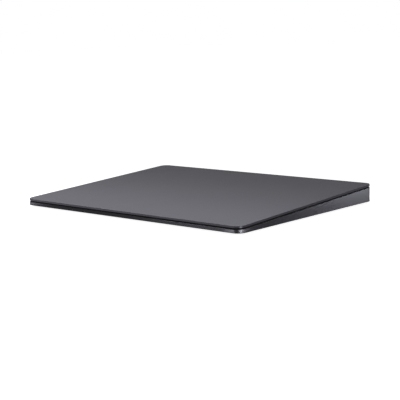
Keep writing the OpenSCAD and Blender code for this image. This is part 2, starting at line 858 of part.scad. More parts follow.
module antenna_feed() color("#c9a24a") {
    start = antenna_x1 + foil_t;
    translate([start, inner_y - antenna_d, board_top]) cube([logic_x + feed_land - start, foil_w, flex_t]);
}

// Charging socket

module socket_profile(inset) {
    translate([0, rear_axis_z]) racetrack(socket_w - 2 * inset, socket_h - 2 * inset);
}

module socket_shell() color("#a2a3a6") {
    from_rear(socket_y1, socket_l) difference() {
        socket_profile(0);
        socket_profile(socket_wall);
    }
}

module socket_tongue() color("#1d1d1f") {
    from_rear(socket_y0 + socket_block_l, socket_block_l) socket_profile(socket_wall + small_fit);
    block([0, (socket_y0 + socket_y1 + socket_block_l - tongue_end_gap) / 2, rear_axis_z - tongue_t / 2],
        [tongue_w, socket_l - socket_block_l - tongue_end_gap, tongue_t]);
}

module socket_contacts() color("#c9a24a") {
    y = socket_y0 + socket_block_l + contact_size[1] / 2;
    for (i = [0:contact_count - 1]) let (x = (i - (contact_count - 1) / 2) * contact_pitch) {
        block([x, y, rear_axis_z + tongue_t / 2], contact_size);
        block([x, y, rear_axis_z - tongue_t / 2 - contact_size[2]], contact_size);
    }
}

// Bent strap over the shell with a screwed foot each side
module socket_clamp() color("#9c9da0") {
    leg_in = socket_w / 2 + open_fit;
    leg_out = leg_in + clamp_t;
    difference() {
        from_rear(socket_screw_y + clamp_d / 2, clamp_d) translate([0, board_top]) difference() {
            union() {
                translate([-clamp_foot_end, 0]) square([2 * clamp_foot_end, clamp_t]);
                translate([-leg_out, 0]) square([2 * leg_out, socket_h + clamp_t]);
            }
            translate([-leg_in, -clamp_t]) square([2 * leg_in, socket_h + clamp_t]);
        }
        translate([0, 0, board_top + clamp_t]) at_socket_screws() screw_hole(2 * clamp_t);
    }
}

module socket_board() color("#1f4d3a") {
    difference() {
        translate([socket_board_x[0], socket_board_y, board_z])
            cube([socket_board_x[1] - socket_board_x[0], socket_board_d, board_t]);
        translate([0, 0, board_top]) at_socket_screws() screw_hole(2 * board_t);
    }
}

module socket_screws() color("#77787b") {
    translate([0, 0, board_top + clamp_t]) at_socket_screws() screw(clamp_t + board_t + boss_bite);
}

module socket_flex() color("#b5702a") {
    start = socket_board_x[1] - flex_land;
    translate([start, socket_flex_y, board_top]) cube([logic_x + flex_land - start, flex_w, flex_t]);
}

// Power switch

module switch_guide() color("#2a2a2d") {
    difference() {
        from_rear(inner_y, guide_t) translate([switch_x, rear_axis_z])
            rounded_rect(guide_l, guide_h, guide_round);
        from_rear(inner_y + small_fit, pocket_t + small_fit) translate([switch_x, rear_axis_z])
            square([pocket_l, pocket_h], center = true);
        from_rear(inner_y, 2 * guide_t) translate([switch_x, rear_axis_z])
            square([stem_l + switch_travel + 2 * slide_fit, stem_h + 2 * slide_fit], center = true);
    }
}

// Knob, the flange that closes the slot behind it, and the fork that moves the switch's lever
module switch_slider() color("#3a3a3d") {
    flange_y0 = flange_y1 - flange_t;
    flag_x = knob_x - knob_l / 2 - flag_l;
    difference() {
        union() {
            from_rear(pad_d / 2 - knob_set_in, pad_d / 2 - knob_set_in - flange_y1)
                translate([knob_x, rear_axis_z]) racetrack(knob_l, knob_h);
            from_rear(flange_y1, flange_t) translate([knob_x, rear_axis_z])
                square([flange_l, flange_h], center = true);
            translate([knob_x - stem_l / 2, stem_y0, rear_axis_z - stem_h / 2])
                cube([stem_l, flange_y0 - stem_y0, stem_h]);
        }
        translate([knob_x - lever_l / 2 - slide_fit, stem_y0 - stem_reach, rear_axis_z - stem_h])
            cube([lever_l + 2 * slide_fit, flange_y0 - stem_y0 + stem_reach, 2 * stem_h]);
        translate([flag_x, flange_y1 - flag_t, rear_axis_z - knob_h / 2]) cube([flag_l, 2 * flag_t, knob_h]);
    }
}

// Green inlay beside the knob, which shows in the slot when the switch is on
module switch_on_flag() color("#3fae49") {
    translate([knob_x - knob_l / 2 - flag_l, flange_y1 - flag_t, rear_axis_z - knob_h / 2])
        cube([flag_l, flag_t, knob_h]);
}

module switch_body() color("#8b8c8f") {
    difference() {
        block([switch_x, switch_body_y1 - switch_body_d / 2, board_top],
            [switch_body_l, switch_body_d, switch_body_h]);
        block([switch_x, lever_y0 - slide_fit + switch_body_d / 2, rear_axis_z - lever_h / 2 - slide_fit],
            [lever_l + switch_travel + 2 * slide_fit, switch_body_d, lever_h + 2 * slide_fit]);
    }
}

module switch_lever() color("#e2e2e0") {
    translate([knob_x - lever_l / 2, lever_y0, rear_axis_z - lever_h / 2])
        cube([lever_l, lever_sunk + lever_hold, lever_h]);
}

// One line draws each node

base_housing();
edge_seal();
cover_glass();
bond_film();
sensor_board();
sensor_components();
stiffener_plate();
haptic_armature();
for (c = CORNERS) {
    foot(c[1], c[2]);
    gel_pad(c[1], c[2]);
    pad_seat(c[1], c[2]);
    load_cell(c[1], c[2]);
}
strain_gauges();
load_cell_screws();
gauge_flex();
haptic_mount();
haptic_core();
for (p = POLES) haptic_coil(p[1]);
haptic_screws();
haptic_flex();
battery_cell();
battery_tape();
battery_protection_board();
battery_flex();
logic_board();
logic_components();
radio_shield();
logic_screws();
touch_flex();
antenna_carrier();
antenna_foil();
antenna_feed();
socket_shell();
socket_tongue();
socket_contacts();
socket_clamp();
socket_board();
socket_screws();
socket_flex();
switch_guide();
switch_slider();
switch_on_flag();
switch_body();
switch_lever();
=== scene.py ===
"""Looks of a wedge-shaped desktop trackpad, dressed around its construction model.

Metres. +X is to the user's right, +Y to the rear and +Z up, from the desk under the pad's middle.
The plate and its layers lie square to the press joint's axis, so their shapes are drawn in the plate's own
axes: across, up the slope to the rear, and out of the glass.
"""

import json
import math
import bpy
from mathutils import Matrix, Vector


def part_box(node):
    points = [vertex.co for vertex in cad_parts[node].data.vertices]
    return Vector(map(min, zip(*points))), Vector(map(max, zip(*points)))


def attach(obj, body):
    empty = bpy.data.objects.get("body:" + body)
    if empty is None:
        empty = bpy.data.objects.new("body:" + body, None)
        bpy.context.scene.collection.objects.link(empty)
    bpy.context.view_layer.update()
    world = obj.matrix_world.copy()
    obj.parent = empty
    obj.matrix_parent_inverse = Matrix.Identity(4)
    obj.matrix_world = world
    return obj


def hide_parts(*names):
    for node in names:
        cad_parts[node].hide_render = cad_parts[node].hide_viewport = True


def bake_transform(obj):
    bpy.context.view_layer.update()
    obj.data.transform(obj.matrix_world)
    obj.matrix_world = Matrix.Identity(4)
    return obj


bl_info = {
    "name": "Trackpad Dresser",
    "version": (1, 0, 0),
    "blender": (4, 5, 0),
    "location": "3D View > Sidebar > Trackpad",
    "description": "Builds the shells, soft parts, finishes and studio of a desktop trackpad",
    "category": "Object",
}

import bmesh
import bpy
from bpy.props import FloatProperty, FloatVectorProperty, IntProperty, PointerProperty
from mathutils import Matrix, Vector

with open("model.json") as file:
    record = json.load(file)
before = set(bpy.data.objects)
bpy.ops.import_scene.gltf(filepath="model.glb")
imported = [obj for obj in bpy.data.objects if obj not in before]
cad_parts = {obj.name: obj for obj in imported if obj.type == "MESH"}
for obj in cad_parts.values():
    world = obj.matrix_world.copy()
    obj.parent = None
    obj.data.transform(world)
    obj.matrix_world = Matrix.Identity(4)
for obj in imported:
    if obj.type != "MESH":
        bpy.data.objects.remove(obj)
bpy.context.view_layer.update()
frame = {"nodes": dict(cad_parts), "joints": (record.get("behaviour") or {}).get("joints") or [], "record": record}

MM = 0.001
RIGHT = Vector((1, 0, 0))
FORWARD = Vector((0, -1, 0))
PRESS = next(joint for joint in frame["joints"] if joint["name"] == "press")
OUT = -Vector(PRESS["axis"]).normalized()
REARWARD = OUT.cross(RIGHT)
SLOPE = Matrix((RIGHT, REARWARD, OUT)).transposed()
LEVEL = Matrix.Identity(3)
CORNERS = ("front_left", "front_right", "rear_left", "rear_right")
HOUSING_LOW, HOUSING_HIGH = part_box("base_housing")
SLOT_OF = {row["node"]: row["material_slot"] for row in frame["record"]["subparts"]}

# Collections of the pieces that some cards of light are kept to
METAL_LIGHT = "metal_light"
PLATE_LIGHT = "plate_light"

# Points this near are welded, facets this flat are joined, and edges this sharp are rounded
WELD = 0.0005 * MM
FLAT = math.radians(0.5)
SHARP = math.radians(40)
EDGE_SEGMENTS = 2
ROUND_PROFILE = 0.5


# Places read from the frame

def corners_of(points):
    """Lowest and highest corner of the box round some points."""
    return [Vector(pick(p[i] for p in points) for i in range(3)) for pick in (min, max)]


def box_on_slope(node):
    """Lowest and highest corner of a CAD node in the plate's axes."""
    return corners_of([SLOPE.transposed() @ v.co for v in frame["nodes"][node].data.vertices])


def height_on_slope(y, level):
    """World height, over plan position y, of the plane that lies at a level in the plate's axes."""
    return (level - y * OUT.y) / OUT.z


# Shader maths

# Sockets of a Mix node that mixes colours
MIX_FACTOR = 0
MIX_FIRST = 6
MIX_SECOND = 7
MIX_COLOUR = 2


def maths(operation, swapped=False):
    """An operator method that adds a Math node."""
    def method(self, other=0.0):
        sides = (other, self) if swapped else (self, other)
        return self.finish.node("ShaderNodeMath", {"operation": operation}, dict(enumerate(sides)))
    return method


class Wire:
    """One shader socket. Arithmetic on it adds Math nodes."""
    __add__ = maths("ADD")
    __radd__ = maths("ADD", swapped=True)
    __sub__ = maths("SUBTRACT")
    __rsub__ = maths("SUBTRACT", swapped=True)
    __mul__ = maths("MULTIPLY")
    __rmul__ = maths("MULTIPLY", swapped=True)
    __mod__ = maths("FLOORED_MODULO")
    __or__ = maths("MAXIMUM")
    __abs__ = maths("ABSOLUTE")
    __gt__ = maths("GREATER_THAN")
    __lt__ = maths("LESS_THAN")

    def __init__(self, finish, socket):
        self.finish = finish
        self.socket = socket


class Finish:
    """A material, or the world, whose nodes are added one by one."""

    def __init__(self, owner):
        self.owner = owner
        owner.use_nodes = True
        self.tree = owner.node_tree

    def node(self, kind, settings=None, inputs=None, output=0):
        """Adds a node, sets it up, fills its sockets with values or wires and returns one output."""
        added = self.tree.nodes.new(kind)
        for name, value in (settings or {}).items():
            setattr(added, name, value)
        for key, value in (inputs or {}).items():
            self.fill(added.inputs[key], value)
        return Wire(self, added.outputs[output])

    def fill(self, socket, value):
        if isinstance(value, Wire):
            self.tree.links.new(value.socket, socket)
        else:
            socket.default_value = value

    def ramp(self, value, start, end, curve="LINEAR"):
        """0 up to a start, 1 past an end, and a slope between."""
        return self.node("ShaderNodeMapRange", {"interpolation_type": curve}, {
            "Value": value, "From Min": start, "From Max": end})


class Coating(Finish):
    """A Principled material. Plain values go straight to its sockets."""
    scatter = 0.7

    def __init__(self, name, **plain):
        super().__init__(bpy.data.materials.new(name))
        self.shader = self.tree.nodes["Principled BSDF"]
        for words, value in plain.items():
            socket = self.shader.inputs[words.replace("_", " ").title().replace("Ior", "IOR")]
            socket.default_value = (*value, 1.0) if isinstance(value, tuple) else value

    def feed(self, socket, value):
        self.fill(self.shader.inputs[socket], value)

    def place(self):
        """Position on the piece, in metres."""
        return self.node("ShaderNodeTexCoord", output="Object")

    def dot(self, vector, direction):
        return self.node("ShaderNodeVectorMath", {"operation": "DOT_PRODUCT"}, {
            0: vector, 1: direction}, output="Value")

    def along(self, direction):
        """Distance along a direction, in metres."""
        return self.dot(self.place(), direction)

    def facing(self, direction):
        """1 where the surface faces a direction, 0 where it is side on and -1 where it faces away."""
        return self.dot(self.node("ShaderNodeTexCoord", output="Normal"), direction)

    def grain(self, size, detail=2.0, stretch=(1, 1, 1), distortion=0.0):
        """Noise from 0 to 1 whose features are about a size across, drawn out along the axes by stretch."""
        scaled = self.node("ShaderNodeMapping", {"vector_type": "POINT"}, {
            "Vector": self.place(), "Scale": [1 / (size * s) for s in stretch]})
        return self.node("ShaderNodeTexNoise", {}, {
            "Vector": scaled, "Scale": 1.0, "Detail": detail, "Distortion": distortion})

    def bands(self, direction, pitch, share):
        """1 over a share of each pitch along a direction, and 0 between."""
        return (self.along(direction) % pitch) < pitch * share

    def tracks(self, turned, pitch, share):
        """1 on tracks that run along Y where a mask is 1, and along X elsewhere."""
        return turned * self.bands(RIGHT, pitch, share) + (1 - turned) * self.bands(FORWARD, pitch, share)

    def patches(self, size):
        """A random value from 0 to 1 in each square of a grid seen from above."""
        corner = self.node("ShaderNodeVectorMath", {"operation": "SNAP"}, {
            0: self.place(), 1: (size, size, size)})
        return self.node("ShaderNodeTexWhiteNoise", {"noise_dimensions": "2D"}, {"Vector": corner})

    def dots(self, pitch, radius):
        """1 inside round dots about a pitch apart, seen from above, and 0 between."""
        reach = self.node("ShaderNodeTexVoronoi", {"voronoi_dimensions": "2D"}, {
            "Vector": self.place(), "Scale": 1 / pitch, "Randomness": self.scatter}, output="Distance")
        return reach < radius / pitch

    def blend(self, amount, first, second):
        """Mixes two colours, each a tuple or a wire."""
        first, second = ((*c, 1.0) if isinstance(c, tuple) else c for c in (first, second))
        return self.node("ShaderNodeMix", {"data_type": "RGBA"}, {
            MIX_FACTOR: amount, MIX_FIRST: first, MIX_SECOND: second}, output=MIX_COLOUR)

    def tint(self, colour, amount, low, high):
        """A colour that goes from a low to a high share of itself."""
        return self.blend(amount, scaled_colour(colour, low), scaled_colour(colour, high))

    def dents(self, height, depth, strength):
        """Bump from a height wire of 0 to 1, whose full relief is a depth in metres."""
        self.feed("Normal", self.node("ShaderNodeBump", {}, {
            "Height": height, "Distance": depth, "Strength": strength}))


def scaled_colour(colour, share):
    return tuple(c * share for c in colour)


# Finishes of two grains

def layered(main, second, share, tones, rough, relief, **plain):
    """Maker of a finish that two grains vary: the main one makes a share of the colour, and the relief.

    Rough is a level and what each grain adds to it. Relief is a depth and a strength.
    """
    def maker(name, colour):
        coat = Coating(name, **plain)
        grains = coat.grain(**main), coat.grain(**second)
        coat.feed("Base Color", coat.tint(colour, share * grains[0] + (1 - share) * grains[1], *tones))
        level, *gains = rough
        coat.feed("Roughness", sum((gain * grain for gain, grain in zip(gains, grains) if gain), level))
        coat.dents(grains[0], *relief)
    return maker


# Bead-blasted aluminium, dyed dark grey: a dense matt grain, whose dye dulls the sheen at low angles
anodised_metal = layered(
    main=dict(size=0.07 * MM, detail=3.0), second=dict(size=9 * MM), share=0.7, tones=(0.85, 1.15),
    rough=(0.34, 0.06), relief=(0.004 * MM, 0.1), metallic=1.0, specular_tint=(0.61, 0.607, 0.645))

# Moulded rubber or foam: a dull skin with fine open pores
soft_rubber = layered(
    main=dict(size=0.12 * MM, detail=4.0), second=dict(size=3 * MM), share=0.6, tones=(0.8, 1.25),
    rough=(0.7, 0, 0.2), relief=(0.02 * MM, 0.5), specular_ior_level=0.3)

# Cold-rolled sheet: fine streaks along X under a faint oily cloud
rolled_steel = layered(
    main=dict(size=0.05 * MM, stretch=(40, 1, 1)), second=dict(size=6 * MM), share=0.7, tones=(0.85, 1.12),
    rough=(0.26, 0.12, 0.08), relief=(0.002 * MM, 0.3), metallic=1.0)

# Sheet drawn into a deep shell: streaks along Y, brighter where the die rubbed
drawn_steel = layered(
    main=dict(size=0.04 * MM, stretch=(1, 50, 1)), second=dict(size=0.7 * MM, stretch=(1, 6, 1)), share=0.5,
    tones=(0.8, 1.15), rough=(0.34, 0, -0.12), relief=(0.002 * MM, 0.4), metallic=1.0)

# Etched spring steel: a matt face with a faint rolling grain left in it
etched_steel = layered(
    main=dict(size=0.03 * MM, detail=3.0), second=dict(size=0.12 * MM, stretch=(30, 1, 1)), share=0.5,
    tones=(0.86, 1.1), rough=(0.36, 0.14), relief=(0.003 * MM, 0.4), metallic=1.0)

# Small parts barrelled bright: fine nicks and soft dull patches
tumbled_steel = layered(
    main=dict(size=0.06 * MM, detail=5.0), second=dict(size=0.9 * MM), share=0.4, tones=(0.7, 1.2),
    rough=(0.22, 0, 0.22), relief=(0.006 * MM, 0.35), metallic=1.0)

# Plating over rolled foil: an even fine grain, slightly stained
plated_metal = layered(
    main=dict(size=0.025 * MM, detail=3.0), second=dict(size=1.4 * MM, detail=4.0), share=0.35,
    tones=(0.82, 1.12), rough=(0.2, 0, 0.16), relief=(0.002 * MM, 0.3), metallic=1.0)

# Moulded plastic with the fine texture of its mould and a faint flow cloud
moulded_plastic = layered(
    main=dict(size=0.05 * MM, detail=3.0), second=dict(size=2.5 * MM, distortion=0.8), share=0.5,
    tones=(0.85, 1.15), rough=(0.45, 0.15), relief=(0.008 * MM, 0.35), specular_ior_level=0.4)

# Laminated foil round a cell: dull silver, softly creased where the stack presses it
foil_pouch = layered(
    main=dict(size=5 * MM, detail=6.0, distortion=1.2), second=dict(size=0.1 * MM), share=0.7,
    tones=(0.82, 1.12), rough=(0.36, 0.16), relief=(0.25 * MM, 0.25), metallic=0.85)

# White stretch-release tape with drawn lines along its length
stretch_tape = layered(
    main=dict(size=0.15 * MM, stretch=(60, 1, 1)), second=dict(size=4 * MM), share=0.6, tones=(0.88, 1.06),
    rough=(0.5, 0.15), relief=(0.008 * MM, 0.4), specular_ior_level=0.3)


# Other finishes

def satin_glass(name, colour):
    """Etched glass over a dark grey coat: even satin, a fine sparkle, a painted highlight on the ground bevel, and
    dark sides.
    """
    coat = Coating(name, specular_ior_level=0.02, specular_tint=(0.94, 0.93, 1.0))
    sparkle = coat.grain(size=0.05 * MM)
    cloud = coat.grain(size=24 * MM)
    face = coat.tint(colour, 0.6 * sparkle + 0.4 * cloud, low=0.92, high=1.08)
    # The upright sides take a darker metal colour: partly a dark ground edge, partly painted shade on the sides
    flat = coat.ramp(coat.facing(OUT), start=0.2, end=0.7)
    # Painted highlight: the ground bevel along the top is painted paler than the face
    bevel = coat.ramp(coat.facing(OUT), start=0.995, end=0.95)
    top = coat.blend(bevel, face, scaled_colour(colour, share=1.5))
    coat.feed("Base Color", coat.blend(flat, scaled_colour(colour, share=0.24), top))
    coat.feed("Metallic", 1 - flat)
    coat.feed("Roughness", 0.32 + 0.14 * flat + 0.08 * cloud)
    coat.dents(sparkle, depth=0.002 * MM, strength=0.25)


def stacked_steel(name, colour):
    """Soft steel sheets stacked face to face: thin dark joints show on the cut sides."""
    coat = Coating(name, metallic=1.0)
    side = abs(coat.facing(OUT)) < 0.5
    joints = side * (1 - coat.bands(OUT, pitch=0.35 * MM, share=0.85))
    scale = coat.grain(size=0.5 * MM, detail=4.0)
    sheet = coat.tint(colour, scale, low=0.75, high=1.15)
    coat.feed("Base Color", coat.blend(joints, sheet, scaled_colour(colour, share=0.15)))
    coat.feed("Roughness", 0.4 + 0.15 * scale)
    coat.dents(0.3 * scale + (1 - joints), depth=0.02 * MM, strength=0.6)


def enamelled_wire(name, colour):
    """Copper wire under a clear enamel that is a little thicker in places."""
    coat = Coating(name, metallic=1.0, coat_roughness=0.08)
    enamel = coat.grain(size=0.6 * MM, detail=3.0)
    fine = coat.grain(size=0.04 * MM)
    coat.feed("Base Color", coat.tint(colour, 0.7 * enamel + 0.3 * fine, low=0.75, high=1.12))
    coat.feed("Roughness", 0.24 + 0.12 * fine)
    coat.feed("Coat Weight", 0.5 + 0.4 * enamel)


def foil_grid(name, foil, film):
    """A gauge: fine foil lines along the beam between amber films."""
    coat = Coating(name)
    lines = coat.bands(REARWARD, pitch=0.26 * MM, share=0.6)
    haze = coat.grain(size=0.4 * MM, detail=3.0)
    between, metal = (coat.tint(part, haze, low=0.85, high=1.1) for part in (film, foil))
    coat.feed("Base Color", coat.blend(lines, between, metal))
    coat.feed("Metallic", 0.9 * lines)
    coat.feed("Roughness", 0.42 - 0.12 * lines + 0.08 * haze)
    coat.dents(lines, depth=0.006 * MM, strength=0.5)


def amber_flex(name, film, copper, turn):
    """Amber film whose copper tracks run along X, and along Y further out than a turn."""
    coat = Coating(name)
    tracks = coat.tracks(abs(coat.along(RIGHT)) > turn, pitch=0.5 * MM, share=0.55)
    haze = coat.grain(size=0.8 * MM, detail=3.0)
    bare = coat.tint(film, haze, low=0.8, high=1.15)
    coat.feed("Base Color", coat.blend(tracks, bare, coat.tint(copper, haze, low=0.55, high=0.75)))
    coat.feed("Metallic", 0.6 * tracks)
    coat.feed("Roughness", 0.38 - 0.08 * tracks + 0.1 * haze)
    coat.dents(tracks, depth=0.012 * MM, strength=0.5)


def solder_mask(name, colour, copper):
    """Green lacquer over copper: tracks run either way in patches, with poured areas and plated holes."""
    coat = Coating(name, coat_roughness=0.2)
    tracks = coat.tracks(coat.patches(size=2.6 * MM) > 0.5, pitch=0.42 * MM, share=0.45)
    raised = tracks | (coat.patches(size=5.2 * MM) > 0.64)
    holes = coat.dots(pitch=1.9 * MM, radius=0.2 * MM)
    coat.feed("Base Color", coat.blend(holes, coat.tint(colour, raised, low=0.7, high=1.5), copper))
    coat.feed("Metallic", holes)
    coat.feed("Roughness", 0.36 - 0.06 * raised + 0.05 * coat.grain(size=0.2 * MM))
    coat.feed("Coat Weight", 0.3 - 0.3 * holes)
    coat.dents(raised - 0.8 * holes, depth=0.02 * MM, strength=0.5)


def chip_resin(name, colour):
    """Moulded resin full of fine glass specks, matt on top."""
    coat = Coating(name, specular_ior_level=0.35)
    specks = coat.dots(pitch=0.12 * MM, radius=0.02 * MM)
    mottle = coat.grain(size=0.3 * MM, detail=4.0)
    resin = coat.tint(colour, mottle, low=0.75, high=1.25)
    coat.feed("Base Color", coat.blend(specks, resin, scaled_colour(colour, share=4)))
    coat.feed("Roughness", 0.55 + 0.2 * mottle)
    coat.dents(mottle, depth=0.006 * MM, strength=0.4)


def clear_gel(name, colour):
    """Soft clear gel: a little milky inside, with a smooth tacky skin."""
    coat = Coating(name, transmission_weight=0.6, ior=1.41)
    milk = coat.grain(size=0.8 * MM, detail=3.0)
    coat.feed("Base Color", coat.tint(colour, milk, low=0.88, high=1.1))
    coat.feed("Roughness", 0.22 + 0.12 * milk)
    coat.dents(milk, depth=0.01 * MM, strength=0.05)


def clear_film(name, colour):
    """Adhesive film, nearly clear, with fine bubbles."""
    coat = Coating(name, transmission_weight=0.7, ior=1.47)
    bubbles = coat.dots(pitch=0.9 * MM, radius=0.06 * MM)
    haze = coat.grain(size=5 * MM)
    coat.feed("Base Color", coat.tint(colour, 0.5 * haze + 0.5 * bubbles, low=0.92, high=1.08))
    coat.feed("Roughness", 0.12 + 0.1 * haze + 0.2 * bubbles)
    coat.dents(bubbles, depth=0.01 * MM, strength=0.3)


# Each record slot's finish and the colours of the inner look that it takes
SLOT_FINISHES = {
    "bond_film": (clear_film, "adhesive"),
    "circuit_board": (solder_mask, "mask", "copper"),
    "chip_black": (chip_resin, "resin"),
    "plate_steel": (rolled_steel, "steel"),
    "core_steel": (stacked_steel, "iron"),
    "spring_steel": (etched_steel, "spring"),
    "gauge_foil": (foil_grid, "spring", "film"),
    "gel": (clear_gel, "gel"),
    "coil_copper": (enamelled_wire, "copper"),
    "screw_steel": (tumbled_steel, "screw"),
    "cell_pouch": (foil_pouch, "pouch"),
    "tape": (stretch_tape, "tape"),
    "shield_tin": (rolled_steel, "tin"),
    "carrier_plastic": (moulded_plastic, "plastic"),
    "antenna_copper": (plated_metal, "copper"),
    "contact_gold": (plated_metal, "gold"),
    "socket_steel": (drawn_steel, "steel"),
    "slider_plastic": (moulded_plastic, "knob"),
    "flag_green": (moulded_plastic, "flag"),
    "switch_case": (tumbled_steel, "tin"),
    "lever_nylon": (moulded_plastic, "nylon"),
}


def made(name, maker, *values):
    """The material of a name, made when it is first asked for."""
    if name not in bpy.data.materials:
        maker(name, *(value if isinstance(value, float) else tuple(value) for value in values))
    return bpy.data.materials[name]


def slot_finish(slot):
    look = bpy.context.scene.trackpad_inner
    maker, *colours = SLOT_FINISHES[slot]
    return made(slot + "_finish", maker, *(getattr(look, colour) for colour in colours))


# Shapes

def rounded_outline(width, depth, radius, steps):
    """Points round a rectangle with arc corners, anticlockwise from the front end of its right side."""
    points = []
    for turn, (sx, sy) in enumerate([(1, -1), (1, 1), (-1, 1), (-1, -1)]):
        middle = Vector((sx * (width / 2 - radius), sy * (depth / 2 - radius)))
        for step in range(steps + 1):
            angle = math.radians(90 * (turn - 1 + step / steps))
            points.append(middle + radius * Vector((math.cos(angle), math.sin(angle))))
    return points


def ring_in_box(box, inset, level, radius, steps, axes=SLOPE):
    """Rounded outline at a level of a box, set in from its sides, in the columns of a set of axes."""
    low, high = box
    size = high - low
    middle = (low + high) / 2
    outline = rounded_outline(size.x - 2 * inset, size.y - 2 * inset, radius, steps)
    return [axes @ Vector((middle.x + p.x, middle.y + p.y, level)) for p in outline]


def quarter_round(radius, steps):
    """Inset and drop of points along a rounded edge, from its wall up to its flat."""
    turns = [math.radians(90 * step / steps) for step in range(steps + 1)]
    return [(radius * (1 - math.cos(a)), radius * (1 - math.sin(a))) for a in turns]


def shouldered_round(radius, steps, shoulder):
    """A rounded edge, and a last point further in on its flat."""
    return [*quarter_round(radius, steps), (radius + shoulder, 0)]


def loft(name, rings, closed=False):
    """Mesh object through rings of equal length. The ends are capped, or joined to each other."""
    shape = bmesh.new()
    loops = [[shape.verts.new(p) for p in ring] for ring in rings]
    following = loops[1:] + loops[:1] if closed else loops[1:]
    for lower, upper in zip(loops, following):
        for i, corner in enumerate(lower):
            j = (i + 1) % len(lower)
            shape.faces.new((corner, lower[j], upper[j], upper[i]))
    if not closed:
        shape.faces.new(loops[0][::-1])
        shape.faces.new(loops[-1])
    bmesh.ops.recalc_face_normals(shape, faces=shape.faces)
    return new_object(name, shape)


def new_object(name, shape):
    mesh = bpy.data.meshes.new(name)
    shape.to_mesh(mesh)
    shape.free()
    mesh.shade_smooth()
    obj = bpy.data.objects.new(name, mesh)
    bpy.context.scene.collection.objects.link(obj)
    return obj


def turned(name, profile, middle, steps):
    """Solid of revolution about an upright axis, through points of radius and height."""
    angles = [2 * math.pi * step / steps for step in range(steps)]
    rings = []
    for radius, height in profile:
        rings.append([middle + Vector((radius * math.cos(a), radius * math.sin(a), height)) for a in angles])
    return loft(name, rings)


def welded(node):
    """Mesh under way from a CAD node, its seams welded."""
    shape = bmesh.new()
    shape.from_mesh(frame["nodes"][node].data)
    bmesh.ops.remove_doubles(shape, verts=shape.verts, dist=WELD)
    return shape


def bevel(shape, edges, width):
    bmesh.ops.bevel(shape, geom=edges, offset=width, segments=EDGE_SEGMENTS, profile=ROUND_PROFILE,
                    affect="EDGES", clamp_overlap=True)


def round_edges(shape, width):
    """Joins the facets of each flat and rounds the edges between flats."""
    bmesh.ops.dissolve_limit(shape, angle_limit=FLAT, verts=shape.verts, edges=shape.edges)
    bevel(shape, [e for e in shape.edges if e.is_manifold and e.calc_face_angle() > SHARP], width)


def slice_across(shape, places):
    """Cuts faces at places along X, so that the shape can bend there."""
    for place in places:
        bmesh.ops.bisect_plane(shape, geom=[*shape.verts, *shape.edges, *shape.faces], dist=WELD,
                               plane_co=(place, 0, 0), plane_no=RIGHT)


def keep_corner(shape, corner):
    """Drops what isn't in one quarter of the plan."""
    far = [v for v in shape.verts if v.co.x * corner.x < 0 or v.co.y * corner.y < 0]
    bmesh.ops.delete(shape, geom=far, context="VERTS")


def solids(node, axes):
    """Lowest and highest corner, in the columns of a set of axes, of each separate solid of a CAD node."""
    shape = welded(node)
    boxes = []
    for seed in shape.verts:
        if seed.tag:
            continue
        seed.tag = True
        part = [seed]
        for corner in part:
            for edge in corner.link_edges:
                other = edge.other_vert(corner)
                if not other.tag:
                    other.tag = True
                    part.append(other)
        boxes.append(corners_of([axes.transposed() @ v.co for v in part]))
    shape.free()
    return boxes


def stretch_of(box, axis, start, end):
    """Part of a box that lies from a start to an end along one of its axes."""
    low, high = (corner.copy() for corner in box)
    low[axis] = start
    high[axis] = end
    return low, high


def add_block(shape, axes, box, edge, material):
    """Adds a block with rounded edges to a mesh under way."""
    low, high = box
    corners = bmesh.ops.create_cube(shape, size=1.0)["verts"]
    for corner in corners:
        share = corner.co + Vector((0.5, 0.5, 0.5))
        corner.co = axes @ Vector(low[i] + share[i] * (high[i] - low[i]) for i in range(3))
    for face in dict.fromkeys(f for corner in corners for f in corner.link_faces):
        face.material_index = material
    bevel(shape, list(dict.fromkeys(e for corner in corners for e in corner.link_edges)), edge)


def joined(first, *others):
    """Adds other objects' meshes to the first one's and removes those objects."""
    shape = bmesh.new()
    for obj in (first, *others):
        shape.from_mesh(obj.data)
    shape.to_mesh(first.data)
    shape.free()
    first.data.shade_smooth()
    for obj in others:
        bpy.data.objects.remove(obj)
    return first


def add_modifier(obj, kind, **settings):
    modifier = obj.modifiers.new(kind.replace("_", " ").lower(), kind)
    for name, value in settings.items():
        setattr(modifier, name, value)


def carve(obj, tool, operation):
    """Cuts an object with another, or keeps what they share, and removes the tool."""
    add_modifier(obj, "BOOLEAN", operation=operation, object=tool, solver="MANIFOLD")
    graph = bpy.context.evaluated_depsgraph_get()
    mesh = bpy.data.meshes.new_from_object(obj.evaluated_get(graph))
    obj.modifiers.clear()
    old = obj.data
    obj.data = mesh
    bpy.data.meshes.remove(old)
    bpy.data.objects.remove(tool)


def dress(obj, body, node, *finishes, crease=35):
    """Makes a new piece stand for a CAD node, in its slot's finish or others, and ride on a body if named.

    Flats stay flat beside rounded edges, and edges that turn by more degrees than a crease stay crisp.
    """
    slot = SLOT_OF[node]
    if crease:
        obj.data.set_sharp_from_angle(angle=math.radians(crease))
        add_modifier(obj, "WEIGHTED_NORMAL", keep_sharp=True)
    obj.data.materials.clear()
    for finish in finishes or [slot_finish(slot)]:
        obj.data.materials.append(finish)
    if body:
        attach(obj, body)
    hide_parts(node)


def finish_node(node, edge, finish=None):
    """Gives a CAD node its slot's finish, or another, and rounds its edges by a width."""
    obj = frame["nodes"][node]
    for mesh_slot in obj.material_slots:
        mesh_slot.material = finish or slot_finish(SLOT_OF[node])
    if edge:
        add_modifier(obj, "WELD", merge_threshold=WELD)
        add_modifier(obj, "DECIMATE", decimate_type="DISSOLVE", angle_limit=FLAT)
        add_modifier(obj, "BEVEL", width=edge, segments=EDGE_SEGMENTS, limit_method="ANGLE",
                     angle_limit=SHARP)


def finish_nodes(edges):
    """Finishes CAD nodes, each with the width that its edges are rounded by."""
    for node, edge in edges.items():
        finish_node(node, edge)


# Sizes and colours that a user may change

def length(name, description, default):
    return FloatProperty(name=name, description=description, default=default, unit="LENGTH", precision=5)


